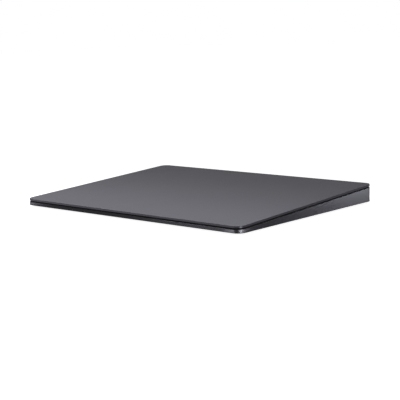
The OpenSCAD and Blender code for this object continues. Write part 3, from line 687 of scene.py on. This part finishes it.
def number(name, description, default):
    return FloatProperty(name=name, description=description, default=default)


def angle(name, description, degrees):
    return FloatProperty(name=name, description=description, default=math.radians(degrees), subtype="ANGLE")


def colour(name, description, default):
    return FloatVectorProperty(name=name, description=description, default=default, subtype="COLOR",
                               size=3, min=0, max=1)


class PlateLook(bpy.types.PropertyGroup):
    """Look of the touch plate."""
    corner_radius: length("Corner radius", "Radius of the plate's corners seen from above", 4.5 * MM)
    top_round: length("Top edge", "Radius of the ground edge along the top", 0.2 * MM)
    bottom_round: length("Bottom edge", "Radius of the edge along the underside", 0.1 * MM)
    corner_steps: IntProperty(name="Corner steps", description="Facets in each corner", default=28)
    glass: colour("Glass", "Colour of the satin glass", (0.106, 0.1055, 0.1215))


class HousingLook(bpy.types.PropertyGroup):
    """Look of the housing and its seal."""
    rim_round: length("Rim edge", "Radius of the edge along the housing's rim", 0.18 * MM)
    base_round: length("Base edge", "Radius of the edge along the underside", 0.15 * MM)
    shave: length("Shave", "How far the smooth skin lies inside the construction model", 0.02 * MM)
    metal: colour("Metal", "Colour of the anodised metal", (0.0146, 0.0146, 0.0164))
    foam: colour("Foam", "Colour of the foam seal", (0.005, 0.005, 0.0075))
    rubber: colour("Rubber", "Colour of the rubber feet", (0.02, 0.02, 0.022))


class InnerLook(bpy.types.PropertyGroup):
    """Colours of the parts inside."""
    steel: colour("Steel", "Rolled steel sheet", (0.40, 0.40, 0.41))
    iron: colour("Core", "Stacked soft steel", (0.16, 0.16, 0.165))
    spring: colour("Spring", "Etched spring steel and gauge foil", (0.43, 0.41, 0.37))
    screw: colour("Screws", "Screw steel", (0.22, 0.22, 0.225))
    tin: colour("Tin", "Tinned sheet and solder", (0.50, 0.50, 0.51))
    copper: colour("Copper", "Bare and enamelled copper", (0.60, 0.24, 0.11))
    gold: colour("Gold", "Gold plating", (0.72, 0.46, 0.16))
    mask: colour("Solder mask", "Lacquer of the boards", (0.006, 0.055, 0.030))
    resin: colour("Resin", "Moulded chips", (0.0070, 0.0070, 0.0075))
    film: colour("Film", "Amber film of the flex cables", (0.40, 0.15, 0.03))
    pouch: colour("Pouch", "Foil round the cell", (0.46, 0.47, 0.49))
    tape: colour("Tape", "Stretch-release tape", (0.78, 0.76, 0.70))
    adhesive: colour("Adhesive", "Film under the glass", (0.70, 0.66, 0.55))
    plastic: colour("Plastic", "Moulded black plastic", (0.012, 0.012, 0.013))
    knob: colour("Knob", "Plastic of the slide switch", (0.035, 0.035, 0.038))
    flag: colour("Flag", "Inlay that shows when the switch is on", (0.03, 0.36, 0.06))
    nylon: colour("Nylon", "Lever of the switch", (0.72, 0.72, 0.68))
    gel: colour("Gel", "Soft pads under the plate", (0.55, 0.58, 0.62))


class StudioLook(bpy.types.PropertyGroup):
    """Camera, floor and light."""
    azimuth: angle("Azimuth", "Camera's turn from the front towards the right", 42.34)
    elevation: angle("Elevation", "Camera's height above the horizon", 9.30)
    roll: angle("Roll", "Camera's tilt to the side", -1.77)
    distance: length("Distance", "From the camera to the point that it looks at", 0.615)
    aim: FloatVectorProperty(name="Aim", description="Point that the camera looks at", subtype="TRANSLATION",
                             default=(1.92 * MM, 0.78 * MM, 2.78 * MM))
    lens: number("Lens", "Focal length on a 36 mm wide frame", 98.1)
    floor_size: length("Floor", "Side of the floor", 6.0)
    floor_colour: colour("Floor colour", "Pale floor", (0.5, 0.5, 0.5))
    floor_glow: number("Floor glow", "White added to the floor where it is seen", 0.95)
    sky: number("Sky", "Level of the even studio light", 0.16)


# Operators

# Height of the cards of light that lie over the floor, and spread in degrees of a lamp that shines all round
CARD_HEIGHT = 0.4 * MM
ALL_ROUND = 180


def on_floor(name, x, y, size, watts):
    """A card of light that lies over the floor and shines up."""
    return name, (x, y, CARD_HEIGHT), (x, y, 1.0), size, watts, ALL_ROUND


class PieceOperator:
    """Shared settings of the operators."""
    bl_options = {"REGISTER", "UNDO"}


class TRACKPAD_OT_stage(PieceOperator, bpy.types.Operator):
    """Make the floor, the light and the camera"""
    bl_idname = "trackpad.stage"
    bl_label = "Stage"
    floor_drop = 0.02 * MM
    shadow_edge = (-1.5 * MM, 2.5 * MM)

    # Name, place, aim, size, watts and spread in degrees of each lamp, by the pieces that it lights
    lights = {
        None: (
            ("front_strip", (0.0, -0.07, 0.10), (0.0, -0.065, 0.0), (0.50, 0.04), 0.345, ALL_ROUND),
        ),
        METAL_LIGHT: (
            on_floor("corner_card", 0.0926, -0.0594, (0.016, 0.007), 0.031),
            on_floor("corner_tail_card", 0.0915, -0.0490, (0.012, 0.012), 0.0064),
            on_floor("front_end_card", 0.0705, -0.068, (0.008, 0.014), 0.0057),
            on_floor("left_end_card", -0.0910, -0.0693, (0.020, 0.014), 0.0155),
            ("front_left_card", (-0.031, -0.168, 0.007), (0.070, -0.057, 0.003), (0.06, 0.012), 0.007, 40),
            ("rear_right_card", (0.182, 0.162, 0.007), (0.08, 0.057, 0.005), (0.06, 0.012), 0.0178, 37),
            on_floor("rear_card", 0.0, 0.0815, (0.16, 0.032), 0.091),
            on_floor("left_card", -0.104, 0.0, (0.032, 0.115), 0.0455),
            ("right_card", (0.25, 0.012, 0.007), (0.08, 0.012, 0.004), (0.10, 0.012), 0.024, 40),
            on_floor("under_card", 0.0, 0.0, (0.156, 0.111), 0.11),
        ),
        PLATE_LIGHT: (
            on_floor("front_edge_card", -0.012, -0.0690, (0.17, 0.010), 0.0088),
            on_floor("plate_corner_card", 0.0926, -0.0594, (0.012, 0.005), 0.0042),
        ),
    }

    def execute(self, context):
        look = context.scene.trackpad_studio
        self.add_camera(context.scene, look)
        self.add_floor(look)
        self.add_sky(context.scene, look)
        for group, lamps in self.lights.items():
            receivers = bpy.data.collections.new(group) if group else None
            for lamp in lamps:
                self.add_lamp(*lamp).light_linking.receiver_collection = receivers
        context.scene.view_settings.view_transform = "Standard"
        return {"FINISHED"}

    def add_camera(self, scene, look):
        turn, rise = look.azimuth, look.elevation
        back = Vector((math.sin(turn) * math.cos(rise), -math.cos(turn) * math.cos(rise), math.sin(rise)))
        right = Vector((0, 0, 1)).cross(back).normalized()
        up = back.cross(right)
        leaning_right = right * math.cos(look.roll) + up * math.sin(look.roll)
        leaning_up = back.cross(leaning_right)
        camera = bpy.data.objects.new("camera", bpy.data.cameras.new("camera"))
        camera.data.lens = look.lens
        axes = Matrix((leaning_right, leaning_up, back)).transposed().to_4x4()
        camera.matrix_world = Matrix.Translation(Vector(look.aim) + back * look.distance) @ axes
        scene.collection.objects.link(camera)
        scene.camera = camera

    def add_floor(self, look):
        shape = bmesh.new()
        bmesh.ops.create_grid(shape, x_segments=1, y_segments=1, size=look.floor_size / 2)
        bmesh.ops.translate(shape, verts=shape.verts, vec=(0, 0, -self.floor_drop))
        floor = new_object("floor", shape)
        floor.data.materials.append(self.floor_finish(look))

    def floor_finish(self, look):
        """Pale paint with a glow where it is seen, and clear from below."""
        finish = Finish(bpy.data.materials.new("pale_floor"))
        finish.tree.nodes.remove(finish.tree.nodes["Principled BSDF"])
        paint = finish.node("ShaderNodeBsdfDiffuse", {}, {"Color": (*look.floor_colour, 1.0)})
        glow = finish.node("ShaderNodeEmission", {}, {"Strength": look.floor_glow * self.glowing(finish)})
        both = finish.node("ShaderNodeAddShader", {}, {0: paint, 1: glow})
        below = finish.node("ShaderNodeNewGeometry", output="Backfacing")
        clear = finish.node("ShaderNodeBsdfTransparent")
        shown = finish.node("ShaderNodeMixShader", {}, {0: below, 1: both, 2: clear})
        finish.fill(finish.tree.nodes["Material Output"].inputs["Surface"], shown)
        return finish.owner

    def glowing(self, finish):
        """1 where the floor is seen, but 0 where a mirror shows the floor under the pad, a painted shadow in the
        glow.
        """
        place = finish.node("ShaderNodeNewGeometry", output="Position")
        across, along = (finish.node("ShaderNodeSeparateXYZ", {}, {0: place}, output=axis) for axis in "XY")
        past = (abs(across) - HOUSING_HIGH.x) | (abs(along) - HOUSING_HIGH.y)
        # Painted shadow: for all but camera rays, the glow fades out over the pad's outline
        clear = finish.ramp(past, *self.shadow_edge, "SMOOTHSTEP")
        return self.ray(finish, "Camera") | (clear * self.seen(finish))

    def ray(self, finish, kind):
        return finish.node("ShaderNodeLightPath", output=f"Is {kind} Ray")

    def seen(self, finish):
        """1 for a ray from the camera, a mirror or a lens, and 0 for the rest."""
        return self.ray(finish, "Camera") | self.ray(finish, "Glossy") | self.ray(finish, "Transmission")

    def add_sky(self, scene, look):
        scene.world = bpy.data.worlds.new("studio")
        finish = Finish(scene.world)
        sockets = finish.tree.nodes["Background"].inputs
        finish.fill(sockets["Color"], (1, 1, 1, 1))
        finish.fill(sockets["Strength"], look.sky + (1 - look.sky) * self.seen(finish))

    def add_lamp(self, name, place, aim, size, watts, spread):
        lamp = bpy.data.objects.new(name, bpy.data.lights.new(name, "AREA"))
        lamp.data.shape = "RECTANGLE"
        lamp.data.size, lamp.data.size_y = size
        lamp.data.energy = watts
        lamp.data.spread = math.radians(spread)
        lamp.location = place
        lamp.rotation_euler = (Vector(place) - Vector(aim)).to_track_quat("Z", "Y").to_euler()
        lamp.visible_camera = False
        bpy.context.scene.collection.objects.link(lamp)
        return lamp


class TRACKPAD_OT_plate(PieceOperator, bpy.types.Operator):
    """Make the glass plate with its ground edge"""
    bl_idname = "trackpad.plate"
    bl_label = "Touch plate"
    edge_steps = 5
    shoulder = 0.4 * MM

    def execute(self, context):
        look = context.scene.trackpad_plate
        box = box_on_slope("cover_glass")
        bottom, top = (corner.z for corner in box)

        def ring(inset, level):
            return ring_in_box(box, inset, level, look.corner_radius - inset, look.corner_steps)

        lower = shouldered_round(look.bottom_round, self.edge_steps, self.shoulder)
        upper = shouldered_round(look.top_round, self.edge_steps, self.shoulder)
        rings = [ring(inset, bottom + drop) for inset, drop in reversed(lower)]
        rings += [ring(inset, top - drop) for inset, drop in upper]
        plate = loft("cover_plate", rings)
        glass = made("satin_glass", satin_glass, look.glass)
        dress(plate, "touch_plate", "cover_glass", glass, crease=None)
        bpy.data.collections[PLATE_LIGHT].objects.link(plate)
        return {"FINISHED"}


class TRACKPAD_OT_housing(PieceOperator, bpy.types.Operator):
    """Make the housing tray with smooth rounded edges"""
    bl_idname = "trackpad.housing"
    bl_label = "Housing"
    edge_steps = 5
    corner_steps = 28
    shoulder = 0.25 * MM
    edge_break = 0.25 * MM
    socket_room = 0.15 * MM
    switch_slot = (7.6 * MM, 0, 2.7 * MM)
    nearly_half = 0.499

    def execute(self, context):
        look = context.scene.trackpad_housing
        corner = context.scene.trackpad_plate.corner_radius
        rim = box_on_slope("base_housing")[1].z - look.shave
        size = HOUSING_HIGH - HOUSING_LOW

        def outline(inset):
            inset += look.shave
            return rounded_outline(size.x - 2 * inset, size.y - 2 * inset, corner - inset, self.corner_steps)

        def level_ring(inset, rise):
            return [Vector((p.x, p.y, HOUSING_LOW.z + look.shave + rise)) for p in outline(inset)]

        def rim_ring(inset, drop):
            return [Vector((p.x, p.y, height_on_slope(p.y, rim) - drop)) for p in outline(inset)]

        lower = shouldered_round(look.base_round, self.edge_steps, self.shoulder)
        upper = shouldered_round(look.rim_round, self.edge_steps, self.shoulder)
        rings = [level_ring(*point) for point in reversed(lower)]
        rings.append(level_ring(0, look.base_round + self.shoulder))
        rings.append(rim_ring(0, look.rim_round + self.shoulder))
        rings += [rim_ring(*point) for point in upper]
        tray = new_object("housing_tray", welded("base_housing"))
        carve(tray, loft("housing_skin", rings), "INTERSECT")
        for opening in self.rear_openings():
            carve(tray, self.flare(*opening), "DIFFERENCE")
        dress(tray, "base", "base_housing", made("anodised_metal", anodised_metal, look.metal))
        bpy.data.collections[METAL_LIGHT].objects.link(tray)
        return {"FINISHED"}

    def rear_openings(self):
        """Middle and size of the socket's and the switch's openings in the rear wall."""
        low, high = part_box("socket_shell")
        room = Vector((2 * self.socket_room, 0, 2 * self.socket_room))
        yield (low + high) / 2, high - low + room
        low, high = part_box("switch_guide")
        yield (low + high) / 2, Vector(self.switch_slot)

    def flare(self, middle, size):
        """Tool that breaks the edge of an opening in the rear wall."""
        rear = HOUSING_HIGH.y - bpy.context.scene.trackpad_housing.shave

        def ring(grow, y):
            tall = size.z + 2 * grow
            outline = rounded_outline(size.x + 2 * grow, tall, tall * self.nearly_half, self.corner_steps)
            return [Vector((middle.x + p.x, y, middle.z + p.y)) for p in outline]

        inner = ring(-WELD, rear - self.edge_break)
        outer = ring(2 * self.edge_break, rear + self.edge_break)
        return loft("flare", [inner, outer])


class TRACKPAD_OT_seal(PieceOperator, bpy.types.Operator):
    """Make the foam seal in the gap under the plate"""
    bl_idname = "trackpad.seal"
    bl_label = "Edge seal"
    width = 0.6 * MM
    soft_share = 0.6
    edge_steps = 4
    corner_steps = 28

    def execute(self, context):
        look = context.scene.trackpad_housing
        box = box_on_slope("edge_seal")
        low, high = box
        radius = context.scene.trackpad_plate.corner_radius - (HOUSING_HIGH.x - high.x)

        def ring(inset, level):
            return ring_in_box(box, inset, level, radius - inset, self.corner_steps)

        crown = quarter_round((high.z - low.z) * self.soft_share, self.edge_steps)
        rings = [ring(0, low.z)]
        rings += [ring(inset, high.z - drop) for inset, drop in crown]
        rings += [ring(self.width - inset, high.z - drop) for inset, drop in reversed(crown)]
        rings.append(ring(self.width, low.z))
        seal = loft("seal_ring", rings, closed=True)
        dress(seal, "base", "edge_seal", made("black_foam", soft_rubber, look.foam), crease=50)
        return {"FINISHED"}


class TRACKPAD_OT_feet(PieceOperator, bpy.types.Operator):
    """Make the four rubber feet"""
    bl_idname = "trackpad.feet"
    bl_label = "Feet"
    edge_round = 0.5 * MM
    edge_steps = 8
    top_round = 0.1 * MM
    top_steps = 4
    steps = 96

    def execute(self, context):
        rubber = made("foot_rubber", soft_rubber, context.scene.trackpad_housing.rubber)
        lower = quarter_round(self.edge_round, self.edge_steps)
        upper = quarter_round(self.top_round, self.top_steps)
        for corner in CORNERS:
            low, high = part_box("foot_" + corner)
            middle = (low + high) / 2
            middle.z = low.z
            radius = (high.y - low.y) / 2
            tall = high.z - low.z
            sole = [(radius - inset, rise) for inset, rise in reversed(lower)]
            crown = [(radius - inset, tall - drop) for inset, drop in upper]
            inner = radius - 2 * self.edge_round
            profile = [(inner, 0), *sole, *crown, (inner, tall)]
            foot = turned("rubber_foot_" + corner, profile, middle, self.steps)
            dress(foot, "base", "foot_" + corner, rubber, crease=None)
        return {"FINISHED"}


class TRACKPAD_OT_plate_layers(PieceOperator, bpy.types.Operator):
    """Finish the film, the sensor board and the stiffener under the glass"""
    bl_idname = "trackpad.plate_layers"
    bl_label = "Layers under the plate"
    edges = {"bond_film": 0.0, "sensor_board": 0.05 * MM, "stiffener_plate": 0.06 * MM}

    def execute(self, context):
        finish_nodes(self.edges)
        return {"FINISHED"}


class TRACKPAD_OT_chips(PieceOperator, bpy.types.Operator):
    """Make the chips, capacitors and plugs of the boards, with their tinned feet"""
    bl_idname = "trackpad.chips"
    bl_label = "Chips"
    capacitor_length = 2.2 * MM
    cap_share = 0.26
    foot_pitch = 0.65 * MM
    foot_width = 0.3 * MM
    foot_depth = 0.28 * MM
    foot_share = 0.35
    edge = 0.06 * MM
    upright = 2
    resin, tin = 0, 1

    def execute(self, context):
        self.group("sensor_chips", "sensor_components", "touch_plate", SLOPE, hanging=True)
        self.group("logic_chips", "logic_components", "base", LEVEL, hanging=False)
        return {"FINISHED"}

    def group(self, name, node, body, axes, hanging):
        shape = bmesh.new()
        for box in solids(node, axes):
            size = box[1] - box[0]
            long, short = (0, 1) if size.x >= size.y else (1, 0)
            if size[long] < self.capacitor_length:
                self.capacitor(shape, axes, box, long)
            else:
                self.chip(shape, axes, box, long, short, hanging)
        chips = new_object(name, shape)
        dress(chips, body, node, slot_finish("chip_black"), slot_finish("shield_tin"))

    def capacitor(self, shape, axes, box, long):
        """A ceramic block with a tinned cap on each end."""
        near, far = (corner[long] for corner in box)
        cap = self.cap_share * (far - near)
        add_block(shape, axes, stretch_of(box, long, near + cap, far - cap), self.edge / 2, self.resin)
        add_block(shape, axes, stretch_of(box, long, near, near + cap), self.edge, self.tin)
        add_block(shape, axes, stretch_of(box, long, far - cap, far), self.edge, self.tin)

    def chip(self, shape, axes, box, long, short, hanging):
        """A moulded body with a row of feet along each long side, next to the board."""
        low, high = box
        near, far = low[short] + self.foot_depth, high[short] - self.foot_depth
        add_block(shape, axes, stretch_of(box, short, near, far), self.edge, self.resin)
        tall = self.foot_share * (high.z - low.z)
        bottom = high.z - tall if hanging else low.z
        layer = stretch_of(box, self.upright, bottom, bottom + tall)
        count = int((high[long] - low[long]) / self.foot_pitch)
        first = (low[long] + high[long] - (count - 1) * self.foot_pitch - self.foot_width) / 2
        for row in (stretch_of(layer, short, low[short], near), stretch_of(layer, short, far, high[short])):
            for turn in range(count):
                start = first + turn * self.foot_pitch
                foot = stretch_of(row, long, start, start + self.foot_width)
                add_block(shape, axes, foot, self.edge / 2, self.tin)


class TRACKPAD_OT_gel_pads(PieceOperator, bpy.types.Operator):
    """Make the soft pads between the plate and the load cells, and finish their seats"""
    bl_idname = "trackpad.gel_pads"
    bl_label = "Gel pads"
    waist = 0.14 * MM
    corner = 1.0 * MM
    layers = 8
    corner_steps = 10
    seat_edge = 0.06 * MM

    def execute(self, context):
        for corner in CORNERS:
            box = box_on_slope("gel_pad_" + corner)
            low, high = box
            rings = []
            for layer in range(self.layers + 1):
                share = layer / self.layers
                inset = self.waist * math.sin(math.pi * share)
                level = low.z + share * (high.z - low.z)
                rings.append(ring_in_box(box, inset, level, self.corner, self.corner_steps))
            pad = loft("soft_pad_" + corner, rings)
            dress(pad, None, "gel_pad_" + corner, crease=60)
            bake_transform(pad)
            finish_node("pad_seat_" + corner, self.seat_edge)
        return {"FINISHED"}


class TRACKPAD_OT_load_cells(PieceOperator, bpy.types.Operator):
    """Make the arms that bend under the plate and the gauges on them"""
    bl_idname = "trackpad.load_cells"
    bl_label = "Load cells"
    root = 71 * MM
    tip = 62 * MM
    slices = 10
    edge = 0.05 * MM
    gauge_edge = 0.02 * MM

    def execute(self, context):
        step = (self.root - self.tip) / self.slices
        cuts = [self.tip + turn * step for turn in range(self.slices + 1)]
        for corner in CORNERS:
            low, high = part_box("load_cell_" + corner)
            middle = (low + high) / 2
            side = math.copysign(1, middle.x)
            arm = welded("load_cell_" + corner)
            gauge = welded("strain_gauges")
            keep_corner(gauge, middle)
            for stem, shape, edge, node in (("spring_arm_", arm, self.edge, "load_cell_" + corner),
                                            ("foil_gauge_", gauge, self.gauge_edge, "strain_gauges")):
                round_edges(shape, edge)
                slice_across(shape, [side * place for place in cuts])
                piece = new_object(stem + corner, shape)
                dress(piece, None, node)
                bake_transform(piece)
        return {"FINISHED"}


class TRACKPAD_OT_magnet(PieceOperator, bpy.types.Operator):
    """Wind the coils of the electromagnet and finish its core, mount and armature"""
    bl_idname = "trackpad.magnet"
    bl_label = "Electromagnet"
    wire = 0.3 * MM
    wire_sides = 8
    hole = (8.1 * MM, 1.2 * MM)
    corner_share = 0.25
    corner_steps = 5
    sleeve_inset = 0.6 * wire
    sleeve_end = 0.25 * wire
    edges = {"haptic_core": 0.06 * MM, "haptic_armature": 0.06 * MM, "haptic_mount": 0.06 * MM}

    def execute(self, context):
        for place in ("left", "middle", "right"):
            node = "haptic_coil_" + place
            coil = joined(self.winding("winding_" + place, node), self.sleeve(node))
            dress(coil, "base", node, crease=50)
        finish_nodes(self.edges)
        return {"FINISHED"}

    def outline(self, width, height, middle):
        """Places round a coil and the way out of it at each, in the plate's across and out axes."""
        points = rounded_outline(width, height, height * self.corner_share, self.corner_steps)
        places = []
        for before, point, after in zip(points[-1:] + points[:-1], points, points[1:] + points[:1]):
            way = (after - before).normalized()
            places.append((Vector((middle.x + point.x, 0, middle.z + point.y)), Vector((way.y, 0, -way.x))))
        return places

    def winding(self, name, node):
        """Outer layer of wire, wound turn by turn from the yoke to the pole."""
        low, high = box_on_slope(node)
        size = high - low
        places = self.outline(size.x - self.wire, size.z - self.wire, (low + high) / 2)
        steps = (int(size.y / self.wire) - 1) * len(places)
        rings = []
        for step in range(steps + 1):
            place, way_out = places[step % len(places)]
            middle = place + Vector((0, low.y + self.wire / 2 + step / steps * (size.y - self.wire), 0))
            ring = []
            for side in range(self.wire_sides):
                angle = 2 * math.pi * side / self.wire_sides
                reach = math.cos(angle) * way_out + math.sin(angle) * Vector((0, 1, 0))
                ring.append(SLOPE @ (middle + reach * self.wire / 2))
            rings.append(ring)
        return loft(name, rings)

    def sleeve(self, node):
        """Inner layers of the winding, from the leg out to the last layer."""
        low, high = box_on_slope(node)
        size = high - low
        middle = (low + high) / 2
        outer = self.outline(size.x - 2 * self.sleeve_inset, size.z - 2 * self.sleeve_inset, middle)
        inner = self.outline(*self.hole, middle)
        near, far = low.y + self.sleeve_end, high.y - self.sleeve_end
        rings = []
        for places, y in ((outer, near), (outer, far), (inner, far), (inner, near)):
            rings.append([SLOPE @ (place + Vector((0, y, 0))) for place, way_out in places])
        return loft("sleeve", rings, closed=True)


class TRACKPAD_OT_battery(PieceOperator, bpy.types.Operator):
    """Make the foil pouch, its tapes and its protection board"""
    bl_idname = "trackpad.battery"
    bl_label = "Battery"
    corner = 2.0 * MM
    least_corner = 0.4 * MM
    corner_steps = 10
    edge = 0.9 * MM
    edge_steps = 6
    seam_reach = 0.15 * MM
    seam_half = 0.12 * MM
    crown = 0.2 * MM
    crown_reach = 9 * MM
    crown_steps = 6
    tape_corner = 1.5 * MM
    tape_edge = 0.04 * MM
    board_edge = 0.05 * MM
    micron_digits = 6

    def execute(self, context):
        body, terrace = self.boxes()
        pouch = joined(self.cell(body), self.terrace(terrace))
        dress(pouch, "base", "battery_cell", crease=40)
        tapes = sorted(solids("battery_tape", LEVEL), key=lambda box: box[0].y)
        for name, (low, high) in zip(("front", "rear"), tapes):
            profile = [(0, low.z), (0, high.z - self.tape_edge), (self.tape_edge, high.z)]
            tape = self.layered_block("stretch_tape_" + name, (low, high), self.tape_corner, profile)
            dress(tape, "base", "battery_tape")
        self.protection_board()
        return {"FINISHED"}

    def layered_block(self, name, box, corner, profile):
        """Block with arc corners, through an inset from a box's sides at each level."""
        rings = []
        for inset, level in profile:
            radius = max(corner - inset, self.least_corner)
            rings.append(ring_in_box(box, inset, level, radius, self.corner_steps, LEVEL))
        return loft(name, rings)

    def boxes(self):
        """Box of the pouch's thick part, whose top flat is set in evenly, and of the terrace beside it."""
        low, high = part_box("battery_cell")
        points = [v.co for v in frame["nodes"]["battery_cell"].data.vertices]
        top_low, top_high = corners_of([p for p in points if p.z > high.z - WELD])
        right = top_high.x + top_low.x - low.x
        end_low, end_high = corners_of([p for p in points if p.x > high.x - WELD])
        terrace_low = Vector((right - self.corner, end_low.y, end_low.z))
        return (low, Vector((right, high.y, high.z))), (terrace_low, end_high)

    def cell(self, box):
        """Crowned pouch with soft edges and a folded seam round its middle."""
        low, high = box
        rim = high.z - self.crown
        seam = (low.z + rim) / 2
        edge = [(self.seam_reach + inset, drop) for inset, drop in quarter_round(self.edge, self.edge_steps)]
        profile = [(self.seam_reach + 2 * self.edge, low.z)]
        profile += [(inset, low.z + drop) for inset, drop in reversed(edge)]
        profile += [(self.seam_reach, seam - 2 * self.seam_half), (0, seam - self.seam_half),
                    (0, seam + self.seam_half), (self.seam_reach, seam + 2 * self.seam_half)]
        profile += [(inset, rim - drop) for inset, drop in edge]
        for step in range(1, self.crown_steps + 1):
            share = step / self.crown_steps
            rise = self.crown * math.sin(math.pi / 2 * share)
            profile.append((self.seam_reach + self.edge + share * self.crown_reach, rim + rise))
        return self.layered_block("foil_pouch", box, self.corner, profile)

    def terrace(self, box):
        """Sealed sheet that carries the protection board."""
        return self.layered_block("terrace", box, self.corner, [(0, corner.z) for corner in box])

    def protection_board(self):
        """Board with its two chips, which are in one solid with it."""
        shape = welded("battery_protection_board")
        levels = sorted({round(v.co.z, self.micron_digits) for v in shape.verts})
        for face in shape.faces:
            face.material_index = int(face.calc_center_median().z > levels[1] + WELD)
        round_edges(shape, self.board_edge)
        board = new_object("guard_board", shape)
        finishes = slot_finish("circuit_board"), slot_finish("chip_black")
        dress(board, "base", "battery_protection_board", *finishes)


class TRACKPAD_OT_boards(PieceOperator, bpy.types.Operator):
    """Finish the logic board, the radio's can and the antenna"""
    bl_idname = "trackpad.boards"
    bl_label = "Boards and antenna"
    edges = {"logic_board": 0.05 * MM, "radio_shield": 0.12 * MM, "antenna_carrier": 0.12 * MM,
             "antenna_foil": 0.0, "antenna_feed": 0.02 * MM}

    def execute(self, context):
        finish_nodes(self.edges)
        return {"FINISHED"}


class TRACKPAD_OT_flexes(PieceOperator, bpy.types.Operator):
    """Finish the flex cables and make the touch cable"""
    bl_idname = "trackpad.flexes"
    bl_label = "Flex cables"
    edge = 0.02 * MM
    still_share = 0.4
    lifted_share = 0.3

    def execute(self, context):
        low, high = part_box("battery_flex")
        width = high.y - low.y
        for node in ("gauge_flex", "haptic_flex"):
            finish_node(node, self.edge, self.film(node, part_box(node)[1].x - width))
        for node in ("battery_flex", "socket_flex"):
            finish_node(node, self.edge, self.film(node, HOUSING_HIGH.x))
        self.touch_cable()
        return {"FINISHED"}

    def film(self, node, turn):
        look = bpy.context.scene.trackpad_inner
        return made(node + "_film", amber_flex, look.film, look.copper, float(turn))

    def touch_cable(self):
        """Cable made from the touch flex, in its amber film finish."""
        cable = new_object("touch_cable", welded("touch_flex"))
        dress(cable, None, "touch_flex", self.film("touch_flex", 0.0), crease=50)
        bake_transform(cable)


class TRACKPAD_OT_socket(PieceOperator, bpy.types.Operator):
    """Finish the charging socket, its clamp and its board"""
    bl_idname = "trackpad.socket"
    bl_label = "Charging socket"
    edges = {"socket_shell": 0.06 * MM, "socket_tongue": 0.08 * MM, "socket_contacts": 0.03 * MM,
             "socket_clamp": 0.08 * MM, "socket_board": 0.05 * MM}

    def execute(self, context):
        finish_nodes(self.edges)
        return {"FINISHED"}


class TRACKPAD_OT_power_switch(PieceOperator, bpy.types.Operator):
    """Finish the slide switch in the rear wall"""
    bl_idname = "trackpad.power_switch"
    bl_label = "Power switch"
    edges = {"switch_guide": 0.08 * MM, "switch_slider": 0.15 * MM, "switch_on_flag": 0.03 * MM,
             "switch_body": 0.1 * MM, "switch_lever": 0.1 * MM}

    def execute(self, context):
        finish_nodes(self.edges)
        return {"FINISHED"}


class TRACKPAD_OT_screws(PieceOperator, bpy.types.Operator):
    """Finish the screws"""
    bl_idname = "trackpad.screws"
    bl_label = "Screws"
    edges = dict.fromkeys(("load_cell_screws", "haptic_screws", "logic_screws", "socket_screws"), 0.04 * MM)

    def execute(self, context):
        finish_nodes(self.edges)
        return {"FINISHED"}


class TRACKPAD_PT_dresser(bpy.types.Panel):
    """Lists the pieces and their looks"""
    bl_idname = "TRACKPAD_PT_dresser"
    bl_label = "Trackpad"
    bl_space_type = "VIEW_3D"
    bl_region_type = "UI"
    bl_category = "Trackpad"

    def draw(self, context):
        for name in LOOKS:
            look = getattr(context.scene, name)
            group = self.layout.box()
            for size in look.__annotations__:
                group.prop(look, size)
        for operator in BUILDERS:
            self.layout.operator(operator.bl_idname)


LOOKS = {"trackpad_plate": PlateLook, "trackpad_housing": HousingLook, "trackpad_inner": InnerLook,
         "trackpad_studio": StudioLook}
BUILDERS = (
    TRACKPAD_OT_stage, TRACKPAD_OT_plate, TRACKPAD_OT_housing, TRACKPAD_OT_seal, TRACKPAD_OT_feet,
    TRACKPAD_OT_plate_layers, TRACKPAD_OT_chips, TRACKPAD_OT_gel_pads, TRACKPAD_OT_load_cells,
    TRACKPAD_OT_magnet, TRACKPAD_OT_battery, TRACKPAD_OT_boards, TRACKPAD_OT_flexes, TRACKPAD_OT_socket,
    TRACKPAD_OT_power_switch, TRACKPAD_OT_screws,
)


def register():
    for look in LOOKS.values():
        bpy.utils.register_class(look)
    for name, look in LOOKS.items():
        setattr(bpy.types.Scene, name, PointerProperty(type=look))
    for operator in (*BUILDERS, TRACKPAD_PT_dresser):
        bpy.utils.register_class(operator)


def unregister():
    for operator in (TRACKPAD_PT_dresser, *reversed(BUILDERS)):
        bpy.utils.unregister_class(operator)
    for name, look in LOOKS.items():
        delattr(bpy.types.Scene, name)
        bpy.utils.unregister_class(look)


def main():
    register()
    bpy.ops.trackpad.stage()
    bpy.ops.trackpad.plate()
    bpy.ops.trackpad.housing()
    bpy.ops.trackpad.seal()
    bpy.ops.trackpad.feet()
    bpy.ops.trackpad.plate_layers()
    bpy.ops.trackpad.chips()
    bpy.ops.trackpad.gel_pads()
    bpy.ops.trackpad.load_cells()
    bpy.ops.trackpad.magnet()
    bpy.ops.trackpad.battery()
    bpy.ops.trackpad.boards()
    bpy.ops.trackpad.flexes()
    bpy.ops.trackpad.socket()
    bpy.ops.trackpad.power_switch()
    bpy.ops.trackpad.screws()
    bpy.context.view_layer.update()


if __name__ == "__main__":
    main()
